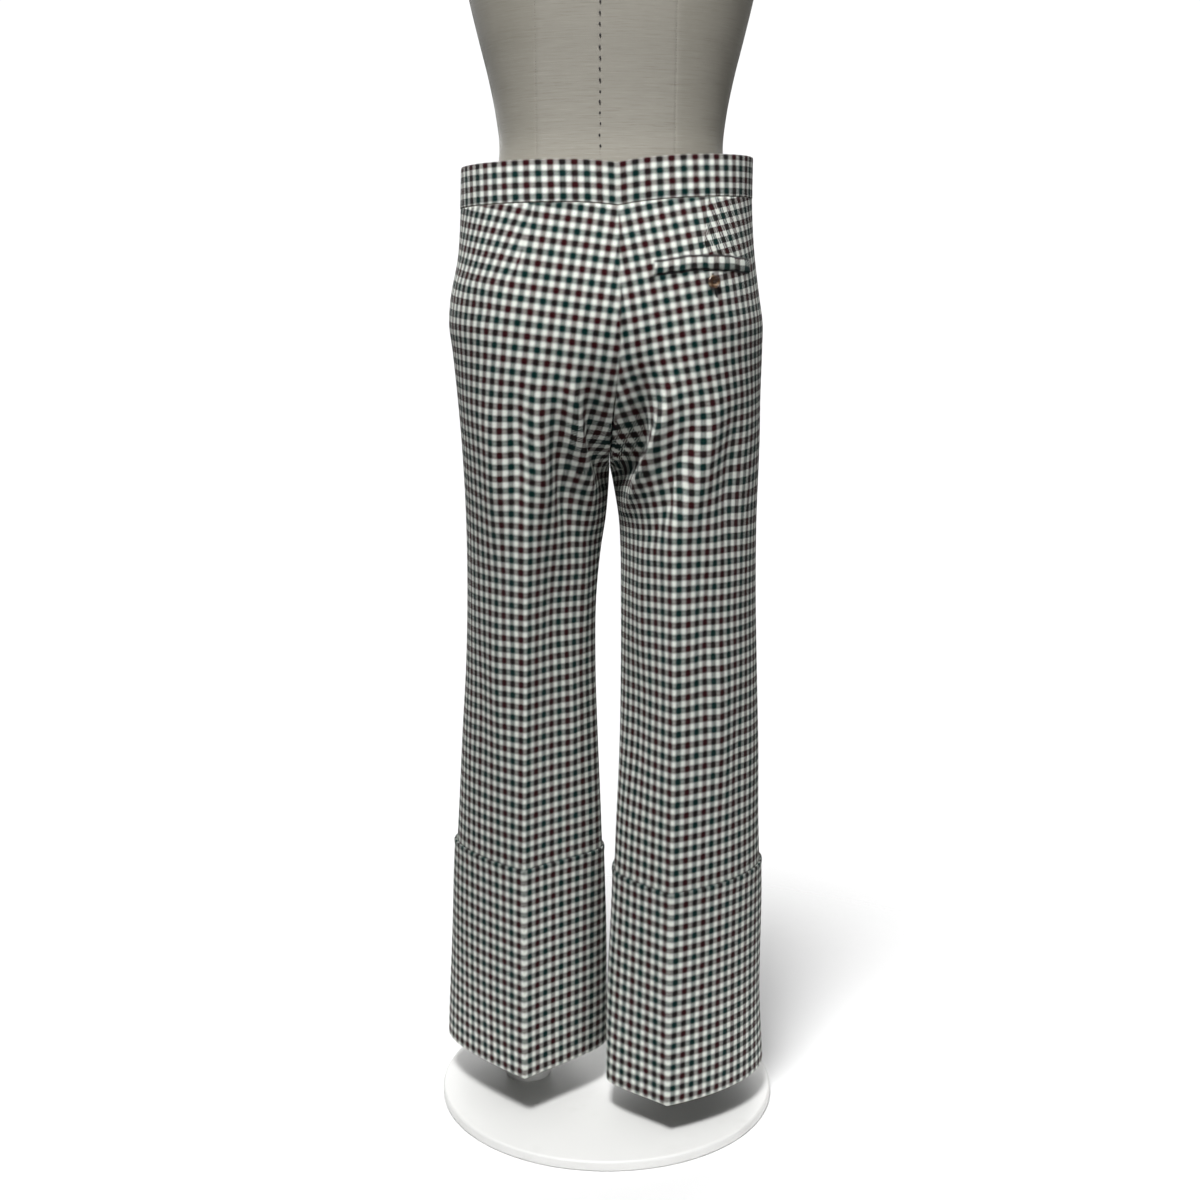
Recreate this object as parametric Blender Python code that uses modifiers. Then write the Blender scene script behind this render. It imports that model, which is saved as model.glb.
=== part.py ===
"""Wide-leg check trousers with deep turn-ups, worn by a limbless dress form on a stand.

Metres, +Z up. The front faces -Y and the wearer's left is +X. Heights in the tables are above the left hem.
"""

import math
from typing import NamedTuple

import bmesh
import bpy
import numpy as np
from mathutils import Matrix, Vector

# Driving sizes
HEM_HEIGHT = 0.060
RIGHT_LEG_DROP = 0.012
DROP_LENGTH = 0.40
BAND_TOP = 1.020
BAND_SEAM = 0.977
CROTCH = 0.690
TURN_UP_TOP = 0.248
SEAM_GAP = 0.0003
CLOTH_WALL = 0.0016
BAND_WALL = 0.0024
BAND_STAND = 0.0005
TURN_UP_STAND = CLOTH_WALL + SEAM_GAP
HEM_TUCK = 0.0014

# The waist is a little higher on the right and dips at the centre back
WAIST_TILT = 0.034
BACK_DIP = 0.030
NOTCH_DIP = 0.007
NOTCH_WIDTH = 0.035
LIFT_START = 0.80

# Grid of each panel
INNER_COLUMNS = 6
OUTER_COLUMNS = 7
EDGE_COLUMN = 0.03
RISE_ROWS = 13
LEG_ROWS = 11
TURN_UP_ROWS = 4
LEG_ROW_SPREAD = 1.3
CROTCH_BLEND = 0.028
CROTCH_REACH = 0.35
CROTCH_STEP_TOP = 0.70
TANGENT_STEP = 0.01
BAND_ROWS = 2

# How a panel's section turns at its inner edge, and where folds fade out
VALLEY_DEPTH = 0.02
VALLEY_SHARE = 0.25
VALLEY_ROUND = 0.01
INNER_HANDLE = 0.4
CREASE_HANDLE = 0.5
FOLD_END = 0.15
FOLD_FADE = 0.45
INNER_EDGE_FADE = 0.25
SIDE_EDGE_FADE = 0.3
NOTCH_EASE = 0.05

# Where the turn-up tucks in below the hem: how far inward and how far down, row by row
HEM_ROWS = ((0.0007, -0.0005), (0.0030, -0.0010))
SQUARE_LIMIT = 0.5

# Pocket, button and fly
WELT_START_X = -0.048
WELT_END_X = -0.150
WELT_BASE = 0.900
WELT_HEIGHT = 0.012
WELT_BOW = 0.004
WELT_WALL = 0.0014
WELT_COLUMNS = 16
BUTTON_X = -0.1095
BUTTON_Z = 0.8895
BUTTON_RADIUS = 0.0073
BUTTON_THICKNESS = 0.0032
BUTTON_RIM = 0.0012
BUTTON_SEAT = -0.0002
FLY_WIDTH = 0.034
FLY_LENGTH = 0.165
FLY_WALL = 0.0012
FLY_STAND = 0.0007
FLY_ROWS = 12
FLY_COLUMNS = 4
FLY_START = 0.002
FLY_INSET = 0.0015
FLY_TURN = 0.72
FLY_FOOT_WIDTH = 0.004
BISECTIONS = 30
BUTTON_STEP_ACROSS = 0.02
BUTTON_STEP_DOWN = 0.004
BUTTON_SEGMENTS = 24
MERGE_DISTANCE = 0.00001

# Stand
BASE_RADIUS = 0.197
BASE_THICKNESS = 0.012
BASE_BEVEL = 0.003
DISC_SEGMENTS = 32
POLE_X = 0.095
POLE_Y = -0.008
POLE_RADIUS = 0.0125
COLLAR_RADIUS = 0.027
COLLAR_HEIGHT = 0.030
COLLAR_STRAIGHT = 0.35
COLLAR_SHOULDER = 0.55
COLLAR_SHOULDER_INSET = 0.006
COLLAR_NECK = 0.004
FLANGE_RADIUS = 0.034
FLANGE_THICKNESS = 0.006
FLANGE_BEVEL = 0.001
FORM_BOTTOM = 0.760
FORM_SEGMENTS = 36
FORM_FULLNESS = 0.88
NECK_CAP_RADIUS = 0.050
NECK_CAP_HEIGHT = 0.014
NECK_CAP_Y = 0.002
NECK_CAP_BEVEL = 0.004


class Line(NamedTuple):
    """A point of a seam line at one height."""

    z: float
    x: float
    y: float


class Crease(NamedTuple):
    """A point of a crease line at one height, and how the cloth leaves it.

    The slopes are degrees from the side-to-side direction, towards the inner and the outer edge. The rounds
    say how softly the cloth turns at those edges, 0.55 for an even curve.
    """

    z: float
    x: float
    y: float
    in_slope: float
    out_slope: float
    in_round: float
    out_round: float


class Ring(NamedTuple):
    """One section of the dress form."""

    z: float
    half_width: float
    front: float
    back: float
    centre_x: float


class Fold(NamedTuple):
    """A ridge (positive rise) or trough between two points of a panel."""

    x_top: float
    z_top: float
    x_low: float
    z_low: float
    rise: float
    width: float


CENTRE_BACK = [
    Line(1.020, -0.0095, 0.0985),
    Line(0.977, -0.0110, 0.1030),
    Line(0.930, -0.0125, 0.1125),
    Line(0.885, -0.0130, 0.1205),
    Line(0.850, -0.0135, 0.1225),
    Line(0.820, -0.0130, 0.1195),
    Line(0.790, -0.0105, 0.1110),
    Line(0.760, -0.0070, 0.0960),
    Line(0.730, -0.0045, 0.0720),
    Line(0.710, -0.0035, 0.0470),
    Line(0.697, -0.0030, 0.0200),
    Line(0.690, -0.0030, -0.0030),
]
CENTRE_FRONT = [
    Line(1.020, -0.0060, -0.1040),
    Line(0.977, -0.0060, -0.1080),
    Line(0.900, -0.0055, -0.1120),
    Line(0.850, -0.0050, -0.1115),
    Line(0.800, -0.0045, -0.1030),
    Line(0.760, -0.0040, -0.0860),
    Line(0.730, -0.0035, -0.0640),
    Line(0.710, -0.0030, -0.0430),
    Line(0.697, -0.0030, -0.0220),
    Line(0.690, -0.0030, -0.0030),
]
INSEAM = {
    "left": [
        Line(0.690, -0.0030, -0.0030),
        Line(0.665, -0.0015, -0.0030),
        Line(0.634, 0.0012, -0.0030),
        Line(0.600, 0.0065, -0.0020),
        Line(0.551, 0.0115, 0.0000),
        Line(0.467, 0.0130, 0.0040),
        Line(0.381, 0.0105, 0.0080),
        Line(0.294, 0.0070, 0.0110),
        Line(0.235, 0.0050, 0.0110),
        Line(0.084, 0.0025, 0.0040),
        Line(0.000, 0.0022, 0.0000),
    ],
    "right": [
        Line(0.690, -0.0030, -0.0030),
        Line(0.665, -0.0080, -0.0020),
        Line(0.634, -0.0130, 0.0020),
        Line(0.600, -0.0150, 0.0080),
        Line(0.551, -0.0155, 0.0170),
        Line(0.467, -0.0155, 0.0300),
        Line(0.381, -0.0140, 0.0420),
        Line(0.294, -0.0100, 0.0530),
        Line(0.235, -0.0080, 0.0590),
        Line(0.084, -0.0025, 0.0700),
        Line(0.000, -0.0015, 0.0740),
    ],
}
SIDE_SEAM = {
    "left": [
        Line(1.020, 0.1590, 0.0000),
        Line(0.977, 0.1605, 0.0000),
        Line(0.926, 0.1640, 0.0000),
        Line(0.874, 0.1735, 0.0000),
        Line(0.848, 0.1750, 0.0000),
        Line(0.822, 0.1720, 0.0000),
        Line(0.769, 0.1670, 0.0000),
        Line(0.715, 0.1630, 0.0000),
        Line(0.634, 0.1600, -0.0020),
        Line(0.551, 0.1600, -0.0050),
        Line(0.467, 0.1630, -0.0090),
        Line(0.381, 0.1690, -0.0130),
        Line(0.294, 0.1745, -0.0170),
        Line(0.235, 0.1785, -0.0190),
        Line(0.084, 0.1865, -0.0240),
        Line(0.000, 0.1905, -0.0260),
    ],
    "right": [
        Line(1.020, -0.1580, 0.0000),
        Line(0.977, -0.1580, 0.0000),
        Line(0.926, -0.1610, 0.0000),
        Line(0.874, -0.1680, 0.0000),
        Line(0.848, -0.1720, 0.0000),
        Line(0.822, -0.1720, 0.0000),
        Line(0.769, -0.1710, 0.0000),
        Line(0.715, -0.1710, 0.0010),
        Line(0.634, -0.1690, 0.0030),
        Line(0.551, -0.1695, 0.0060),
        Line(0.467, -0.1720, 0.0090),
        Line(0.381, -0.1750, 0.0120),
        Line(0.294, -0.1765, 0.0140),
        Line(0.235, -0.1785, 0.0150),
        Line(0.084, -0.1795, 0.0160),
        Line(0.000, -0.1835, 0.0160),
    ],
}
CREASE = {
    ("left", "back"): [
        Crease(1.020, 0.075, 0.0930, -6, 10, 0.55, 0.55),
        Crease(0.977, 0.078, 0.0995, -4, 8, 0.55, 0.55),
        Crease(0.926, 0.080, 0.1100, -2, 4, 0.55, 0.55),
        Crease(0.874, 0.082, 0.1170, 0, 0, 0.55, 0.55),
        Crease(0.848, 0.083, 0.1185, 0, 0, 0.55, 0.55),
        Crease(0.800, 0.084, 0.1185, 2, 0, 0.55, 0.55),
        Crease(0.750, 0.085, 0.1160, 6, 2, 0.50, 0.55),
        Crease(0.700, 0.086, 0.1130, 14, 6, 0.40, 0.50),
        Crease(0.634, 0.086, 0.1080, 34, 16, 0.30, 0.45),
        Crease(0.551, 0.088, 0.1040, 48, 26, 0.22, 0.42),
        Crease(0.467, 0.089, 0.1020, 50, 30, 0.20, 0.38),
        Crease(0.294, 0.092, 0.1000, 46, 36, 0.18, 0.32),
        Crease(0.000, 0.094, 0.1000, 43, 40, 0.16, 0.26),
    ],
    ("right", "back"): [
        Crease(1.020, -0.078, 0.0930, -6, 10, 0.55, 0.55),
        Crease(0.977, -0.080, 0.0995, -4, 8, 0.55, 0.55),
        Crease(0.926, -0.080, 0.1100, -2, 4, 0.55, 0.55),
        Crease(0.874, -0.078, 0.1175, 0, 0, 0.55, 0.55),
        Crease(0.848, -0.076, 0.1190, 0, 0, 0.55, 0.55),
        Crease(0.800, -0.073, 0.1195, 2, 0, 0.55, 0.55),
        Crease(0.750, -0.070, 0.1190, 6, 2, 0.50, 0.55),
        Crease(0.700, -0.069, 0.1200, 14, 5, 0.40, 0.50),
        Crease(0.634, -0.069, 0.1220, 34, 12, 0.30, 0.45),
        Crease(0.551, -0.070, 0.1270, 48, 20, 0.22, 0.42),
        Crease(0.467, -0.071, 0.1330, 50, 23, 0.20, 0.42),
        Crease(0.294, -0.070, 0.1400, 45, 25, 0.18, 0.42),
        Crease(0.000, -0.067, 0.1400, 40, 23, 0.16, 0.44),
    ],
    ("left", "front"): [
        Crease(1.020, 0.078, -0.0940, -8, 12, 0.55, 0.55),
        Crease(0.977, 0.080, -0.0980, -6, 10, 0.55, 0.55),
        Crease(0.900, 0.083, -0.1040, -4, 6, 0.55, 0.55),
        Crease(0.850, 0.084, -0.1065, -1, 3, 0.55, 0.55),
        Crease(0.800, 0.084, -0.1080, 4, 8, 0.50, 0.50),
        Crease(0.740, 0.085, -0.1080, 16, 16, 0.40, 0.45),
        Crease(0.634, 0.086, -0.1070, 36, 28, 0.28, 0.38),
        Crease(0.467, 0.090, -0.1070, 44, 36, 0.20, 0.32),
        Crease(0.294, 0.094, -0.1100, 44, 38, 0.18, 0.28),
        Crease(0.000, 0.098, -0.1130, 44, 38, 0.16, 0.24),
    ],
    ("right", "front"): [
        Crease(1.020, -0.084, -0.0940, -8, 12, 0.55, 0.55),
        Crease(0.977, -0.086, -0.0980, -6, 10, 0.55, 0.55),
        Crease(0.900, -0.089, -0.1040, -4, 6, 0.55, 0.55),
        Crease(0.850, -0.091, -0.1065, -1, 3, 0.55, 0.55),
        Crease(0.800, -0.093, -0.1080, 4, 8, 0.50, 0.50),
        Crease(0.740, -0.096, -0.1070, 16, 16, 0.40, 0.45),
        Crease(0.634, -0.100, -0.1030, 36, 28, 0.28, 0.38),
        Crease(0.467, -0.106, -0.0960, 44, 36, 0.20, 0.32),
        Crease(0.294, -0.110, -0.0880, 44, 38, 0.18, 0.28),
        Crease(0.000, -0.114, -0.0820, 44, 38, 0.16, 0.24),
    ],
}
FOLDS = {
    ("left", "back"): [
        Fold(0.030, 0.800, 0.012, 0.690, 0.0050, 0.012),
        Fold(0.052, 0.760, 0.034, 0.640, -0.0045, 0.013),
        Fold(0.070, 0.800, 0.074, 0.660, 0.0030, 0.014),
    ],
    ("right", "back"): [
        Fold(-0.062, 0.765, -0.024, 0.665, 0.0075, 0.011),
        Fold(-0.036, 0.775, -0.014, 0.700, -0.0060, 0.012),
        Fold(-0.096, 0.740, -0.050, 0.640, -0.0035, 0.014),
        Fold(-0.118, 0.780, -0.088, 0.650, 0.0025, 0.014),
    ],
    ("left", "front"): [
        Fold(0.045, 0.745, 0.100, 0.775, 0.0030, 0.012),
        Fold(0.030, 0.715, 0.090, 0.735, -0.0030, 0.011),
    ],
    ("right", "front"): [
        Fold(-0.045, 0.750, -0.105, 0.785, 0.0030, 0.012),
        Fold(-0.035, 0.720, -0.095, 0.745, -0.0030, 0.011),
    ],
}
FORM_RINGS = [
    Ring(0.760, 0.1150, -0.0560, 0.0600, 0.0015),
    Ring(0.764, 0.1320, -0.0700, 0.0760, 0.0015),
    Ring(0.778, 0.1500, -0.0860, 0.0940, 0.0015),
    Ring(0.800, 0.1620, -0.0980, 0.1080, 0.0012),
    Ring(0.825, 0.1685, -0.1055, 0.1150, 0.0008),
    Ring(0.850, 0.1706, -0.1070, 0.1165, 0.0014),
    Ring(0.880, 0.1660, -0.1060, 0.1130, 0.0010),
    Ring(0.920, 0.1540, -0.1010, 0.1020, 0.0000),
    Ring(0.965, 0.1370, -0.0930, 0.0890, -0.0020),
    Ring(1.005, 0.1250, -0.0865, 0.0810, -0.0035),
    Ring(1.032, 0.1215, -0.0850, 0.0790, -0.0040),
    Ring(1.070, 0.1250, -0.0890, 0.0810, -0.0040),
    Ring(1.108, 0.1325, -0.0960, 0.0860, -0.0040),
    Ring(1.150, 0.1430, -0.1060, 0.0930, -0.0040),
    Ring(1.190, 0.1525, -0.1160, 0.0990, -0.0040),
    Ring(1.240, 0.1620, -0.1190, 0.1030, -0.0040),
    Ring(1.300, 0.1690, -0.1080, 0.1030, -0.0040),
    Ring(1.350, 0.1750, -0.0900, 0.0970, -0.0040),
    Ring(1.390, 0.1760, -0.0720, 0.0850, -0.0040),
    Ring(1.415, 0.1620, -0.0600, 0.0720, -0.0040),
    Ring(1.435, 0.1250, -0.0530, 0.0630, -0.0040),
    Ring(1.450, 0.0850, -0.0500, 0.0570, -0.0040),
    Ring(1.465, 0.0630, -0.0490, 0.0540, -0.0040),
    Ring(1.495, 0.0560, -0.0480, 0.0520, -0.0040),
    Ring(1.525, 0.0545, -0.0475, 0.0515, -0.0040),
]


class Track:
    """A smooth curve through the rows of a table, read at any height."""

    def __init__(self, rows):
        table = np.array(sorted(rows), dtype=float)
        self.heights = table[:, 0]
        self.values = table[:, 1:]
        self.slopes = np.gradient(self.values, self.heights, axis=0)

    def at(self, z):
        """All the columns after the height, at height z."""
        z = min(max(z, self.heights[0]), self.heights[-1])
        index = min(int(np.searchsorted(self.heights, z, side="right")) - 1, len(self.heights) - 2)
        index = max(index, 0)
        span = self.heights[index + 1] - self.heights[index]
        t = (z - self.heights[index]) / span
        low, high = self.values[index], self.values[index + 1]
        low_slope, high_slope = self.slopes[index] * span, self.slopes[index + 1] * span
        return (
            (2 * t**3 - 3 * t**2 + 1) * low
            + (t**3 - 2 * t**2 + t) * low_slope
            + (3 * t**2 - 2 * t**3) * high
            + (t**3 - t**2) * high_slope
        )


CROTCH_DEPTH = {"back": CENTRE_BACK[-1].y, "front": -CENTRE_FRONT[-1].y}
CENTRES = {"back": Track(CENTRE_BACK), "front": Track(CENTRE_FRONT)}
INSEAMS = {side: Track(rows) for side, rows in INSEAM.items()}
SIDES = {side: Track(rows) for side, rows in SIDE_SEAM.items()}
CREASES = {key: Track(rows) for key, rows in CREASE.items()}


def ease(t):
    """0 to 1 with level ends."""
    t = min(max(t, 0.0), 1.0)
    return t * t * (3 - 2 * t)


def round_max(a, b):
    """The larger of two values, with a rounded change from one to the other."""
    return (a + b + math.hypot(a - b, VALLEY_ROUND)) / 2


def bezier(points, t):
    """A point of the cubic curve through four control points."""
    a, b, c, d = points
    s = 1 - t
    return s**3 * a + 3 * s * s * t * b + 3 * s * t * t * c + t**3 * d


def edge_point(side, face, z):
    """The inner edge of a panel: the centre seam above the crotch, and the inseam below it."""
    if z >= CROTCH:
        return CENTRES[face].at(z)
    return INSEAMS[side].at(z)


def section(side, face, z):
    """The two curves of a panel at one height: inner edge to crease, and crease to side seam."""
    inner = np.array(edge_point(side, face, z))
    outer = np.array(SIDES[side].at(z))
    x, y, in_slope, out_slope, in_round, out_round = CREASES[side, face].at(z)
    crease = np.array((x, y))
    out = 1.0 if face == "back" else -1.0
    in_run = inner[0] - x
    in_depth = out * (y - inner[1])
    valley = ease(in_depth / VALLEY_DEPTH)
    rounded = out * y - (1 - in_round) * (out * y - CROTCH_DEPTH[face])
    level = round_max(out * inner[1] + VALLEY_SHARE * in_depth, rounded)
    sunk = (level - out * inner[1]) * valley
    in_handle = inner + np.array((-INNER_HANDLE * in_run * (1 - valley), out * sunk))
    in_turn = math.tan(math.radians(in_slope))
    out_turn = math.tan(math.radians(out_slope))
    in_crease = crease + CREASE_HANDLE * np.array((in_run, -out * abs(in_run) * in_turn))
    out_run = outer[0] - x
    out_crease = crease + CREASE_HANDLE * np.array((out_run, -out * abs(out_run) * out_turn))
    out_handle = outer + np.array((0.0, out_round * (y - outer[1])))
    return (inner, in_handle, in_crease, crease), (crease, out_crease, out_handle, outer)


def section_point(side, face, z, s):
    """The point of a panel and its outward direction; s runs 0 to 1 to the crease and 1 to 2 to the side."""
    near_crotch = ease(1.5 - abs(z - CROTCH) / CROTCH_BLEND)
    reach = CROTCH_BLEND * near_crotch * ease(s / CROTCH_REACH)
    heights = [z + reach * k / 2 for k in (-2, -1, 0, 1, 2)] if reach > 0 else [z]
    layers = [section(side, face, height) for height in heights]
    before, point, after = (sum(section_sample(curves, place) for curves in layers) / len(layers)
                            for place in (s - TANGENT_STEP, s, s + TANGENT_STEP))
    ahead = after - before
    ahead /= np.linalg.norm(ahead)
    turn = 1.0 if (side == "left") == (face == "back") else -1.0
    return point, np.array((-ahead[1], ahead[0])) * turn


def section_sample(curves, s):
    """A point of the joined curves, kept inside their ends."""
    s = min(max(s, 0.0), 2.0)
    return bezier(curves[0], s) if s <= 1 else bezier(curves[1], s - 1)


def fold_rise(side, face, x, z):
    """How far the folds move a point of a panel outward."""
    rise = 0.0
    for fold in FOLDS[side, face]:
        top = np.array((fold.x_top, fold.z_top))
        run = np.array((fold.x_low, fold.z_low)) - top
        along = float(np.dot(np.array((x, z)) - top, run) / np.dot(run, run))
        nearest = top + run * min(max(along, 0.0), 1.0)
        across = math.dist((x, z), nearest)
        ends = ease((along + FOLD_END) / FOLD_FADE) * ease((1 + FOLD_END - along) / FOLD_FADE)
        rise += fold.rise * ends * math.exp(-((across / fold.width) ** 2))
    return rise


def world_height(side, x, y, z):
    """The height above the floor, with the tilt and dip of the waist and the lower right leg."""
    near_waist = ease((z - LIFT_START) / (BAND_SEAM - LIFT_START))
    seam_x = CENTRES["back"].at(max(z, CROTCH))[0]
    notch = NOTCH_DIP * math.exp(-abs(x - seam_x) / NOTCH_WIDTH) * ease(y / NOTCH_EASE)
    lift = near_waist * (-WAIST_TILT * x - BACK_DIP * max(y, 0.0) - notch)
    drop = RIGHT_LEG_DROP * ease((CROTCH - z) / DROP_LENGTH) if side == "right" else 0.0
    return HEM_HEIGHT + z + lift - drop


def panel_point(side, face, z, s, out=0.0):
    """A point of a panel in space, moved outward by a distance."""
    point, normal = section_point(side, face, z, s)
    edge_fade = ease(s / INNER_EDGE_FADE) * ease((2 - s) / SIDE_EDGE_FADE)
    point = point + normal * (out + fold_rise(side, face, point[0], z) * edge_fade)
    return Vector((point[0], point[1], world_height(side, point[0], point[1], z)))


def panel_columns():
    """Positions across a panel, from the inner edge to the side seam, with a narrow column at each edge."""
    inner = [i / INNER_COLUMNS for i in range(1, INNER_COLUMNS)]
    outer = [1 + i / OUTER_COLUMNS for i in range(OUTER_COLUMNS)]
    return [0, EDGE_COLUMN] + inner + outer + [2 - EDGE_COLUMN, 2]


def panel_heights():
    """Heights of a panel's rows, close together where the crotch curve runs in."""
    rise = [CROTCH + (BAND_SEAM - SEAM_GAP - CROTCH) * (1 - math.sin(math.pi / 2 * i / RISE_ROWS))
            for i in range(RISE_ROWS)]
    leg = [CROTCH - (CROTCH - TURN_UP_TOP) * (i / LEG_ROWS) ** LEG_ROW_SPREAD for i in range(LEG_ROWS)]
    cuff = [TURN_UP_TOP + (HEM_TUCK - TURN_UP_TOP) * i / TURN_UP_ROWS for i in range(TURN_UP_ROWS + 1)]
    return rise + leg + cuff


def seam_shift(side, face, z, s):
    """The small step that keeps a panel's edges off its neighbours."""
    out = 1.0 if face == "back" else -1.0
    if s == 0 and z >= CROTCH:
        apart = 1.0 if side == "left" else -1.0
        return Vector((apart * SEAM_GAP / 2, out * SEAM_GAP / 2 * (z < CROTCH_STEP_TOP), 0.0))
    if s in (0, 2):
        return Vector((0.0, out * SEAM_GAP / 2, 0.0))
    return Vector((0.0, 0.0, 0.0))


def make_object(name, mesh, material, collection):
    """Put a mesh in the collection with one material."""
    mesh.materials.append(material)
    thing = bpy.data.objects.new(name, mesh)
    collection.objects.link(thing)
    return thing


def grid_mesh(name, rows, closed=False):
    """An open surface through rows of points; closed joins the last column to the first."""
    shape = bmesh.new()
    corners = [[shape.verts.new(point) for point in row] for row in rows]
    width = len(rows[0])
    for upper, lower in zip(corners, corners[1:]):
        for i in range(width if closed else width - 1):
            j = (i + 1) % width
            shape.faces.new((upper[i], upper[j], lower[j], lower[i]))
    for face in shape.faces:
        face.smooth = True
    mesh = bpy.data.meshes.new(name)
    shape.to_mesh(mesh)
    shape.free()
    return mesh


def thicken(thing, wall):
    """Give an open surface a wall on its inner side."""
    solid = thing.modifiers.new("Wall", "SOLIDIFY")
    solid.thickness = wall
    solid.offset = -1
    return thing


def ordered(side, face, rows):
    """Turn the rows so that the faces point outward."""
    if (side == "left") == (face == "back"):
        return rows
    return [row[::-1] for row in rows]


def make_panel(side, face, material, collection):
    """One front or back of the trousers, from the waist seam to the hem."""
    rows = []
    for z in panel_heights():
        rows.append([panel_point(side, face, z, s) + seam_shift(side, face, z, s) for s in panel_columns()])
    name = f"{face}_{side}"
    mesh = grid_mesh(name, ordered(side, face, rows))
    return thicken(make_object(name, mesh, material, collection), CLOTH_WALL)


def ring_stations():
    """Face and position for each point round one leg or half the waist, inner edge to inner edge."""
    back = [("back", s) for s in panel_columns()]
    front = [("front", s) for s in reversed(panel_columns())]
    return back, front


def ring_row(side, z, out, height=None):
    """Points round one leg at one height, moved outward with square corners at the creases."""
    back, front = ring_stations()
    flat = np.array([section_point(side, face, z, s)[0] for face, s in back[:-1] + front[:-1]])
    before = flat - np.roll(flat, 1, axis=0)
    after = np.roll(flat, -1, axis=0) - flat
    before /= np.linalg.norm(before, axis=1)[:, None]
    after /= np.linalg.norm(after, axis=1)[:, None]
    turn = 1.0 if side == "left" else -1.0
    normals = np.stack((-(before + after)[:, 1], (before + after)[:, 0]), axis=1) * turn
    normals /= np.linalg.norm(normals, axis=1)[:, None]
    across = np.stack((-before[:, 1], before[:, 0]), axis=1) * turn
    corner = np.maximum(np.sum(normals * across, axis=1), SQUARE_LIMIT)
    row = []
    for point, normal, square in zip(flat, normals, corner):
        x, y = point + normal * out / square
        row.append(Vector((x, y, world_height(side, x, y, z if height is None else height))))
    return row


def make_turn_up(side, material, collection):
    """The deep turn-up: a wall round the leg that folds under the hem."""
    heights = [TURN_UP_TOP + (HEM_TUCK - TURN_UP_TOP) * i / TURN_UP_ROWS for i in range(TURN_UP_ROWS + 1)]
    rows = [ring_row(side, z, TURN_UP_STAND) for z in heights]
    rows += [ring_row(side, 0.0, TURN_UP_STAND - inward, height=down) for inward, down in HEM_ROWS]
    if side == "right":
        rows = [row[::-1] for row in rows]
    name = f"turn_up_{side}"
    return thicken(make_object(name, grid_mesh(name, rows, closed=True), material, collection), CLOTH_WALL)


def make_band(side, material, collection):
    """Half of the waistband, from the centre-back seam round the side to the centre front."""
    back, front = ring_stations()
    rows = []
    for i in range(BAND_ROWS + 1):
        z = BAND_TOP + (BAND_SEAM + SEAM_GAP - BAND_TOP) * i / BAND_ROWS
        row = [panel_point(side, face, z, s, BAND_STAND) for face, s in back + front[1:]]
        step = Vector(((1.0 if side == "left" else -1.0) * SEAM_GAP / 2, 0.0, 0.0))
        row[0] = row[0] + step
        row[-1] = row[-1] + step * 2
        rows.append(row)
    if side == "right":
        rows = [row[::-1] for row in rows]
    name = f"waistband_{side}"
    return thicken(make_object(name, grid_mesh(name, rows), material, collection), BAND_WALL)


def position_at_x(side, face, z, x):
    """Where a panel's section at one height reaches a side-to-side place."""
    low, high = 0.0, 2.0
    away = 1.0 if side == "left" else -1.0
    curves = section(side, face, z)
    for _ in range(BISECTIONS):
        middle = (low + high) / 2
        if section_sample(curves, middle)[0] * away < x * away:
            low = middle
        else:
            high = middle
    return (low + high) / 2


def make_welt(material, collection):
    """The back pocket's welt, made from the right back's points."""
    rows = []
    for level in (1.0, 0.5, 0.0):
        row = []
        for i in range(WELT_COLUMNS + 1):
            t = i / WELT_COLUMNS
            x = WELT_START_X + (WELT_END_X - WELT_START_X) * t
            z = WELT_BASE + WELT_HEIGHT * level + WELT_BOW * math.sin(math.pi * t)
            s = position_at_x("right", "back", z, x)
            row.append(panel_point("right", "back", z, s, SEAM_GAP + WELT_WALL))
        rows.append(row[::-1])
    mesh = grid_mesh("pocket_welt", rows)
    return thicken(make_object("pocket_welt", mesh, material, collection), WELT_WALL)


def make_fly(material, collection):
    """The fly's outer layer on the left front, with a curved foot."""
    rows = []
    for i in range(FLY_ROWS + 1):
        t = i / FLY_ROWS
        z = BAND_SEAM - FLY_START - FLY_LENGTH * t
        round_foot = max((t - FLY_TURN) / (1 - FLY_TURN), 0.0)
        width = FLY_WIDTH * math.sqrt(max(1 - round_foot**2, 0.0)) + FLY_FOOT_WIDTH
        centre = CENTRES["front"].at(z)[0] + FLY_INSET
        row = []
        for j in range(FLY_COLUMNS + 1):
            x = centre + width * j / FLY_COLUMNS
            s = position_at_x("left", "front", z, x)
            row.append(panel_point("left", "front", z, s, FLY_STAND + FLY_WALL))
        rows.append(row[::-1])
    return thicken(make_object("fly_placket", grid_mesh("fly_placket", rows), material, collection), FLY_WALL)


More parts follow.
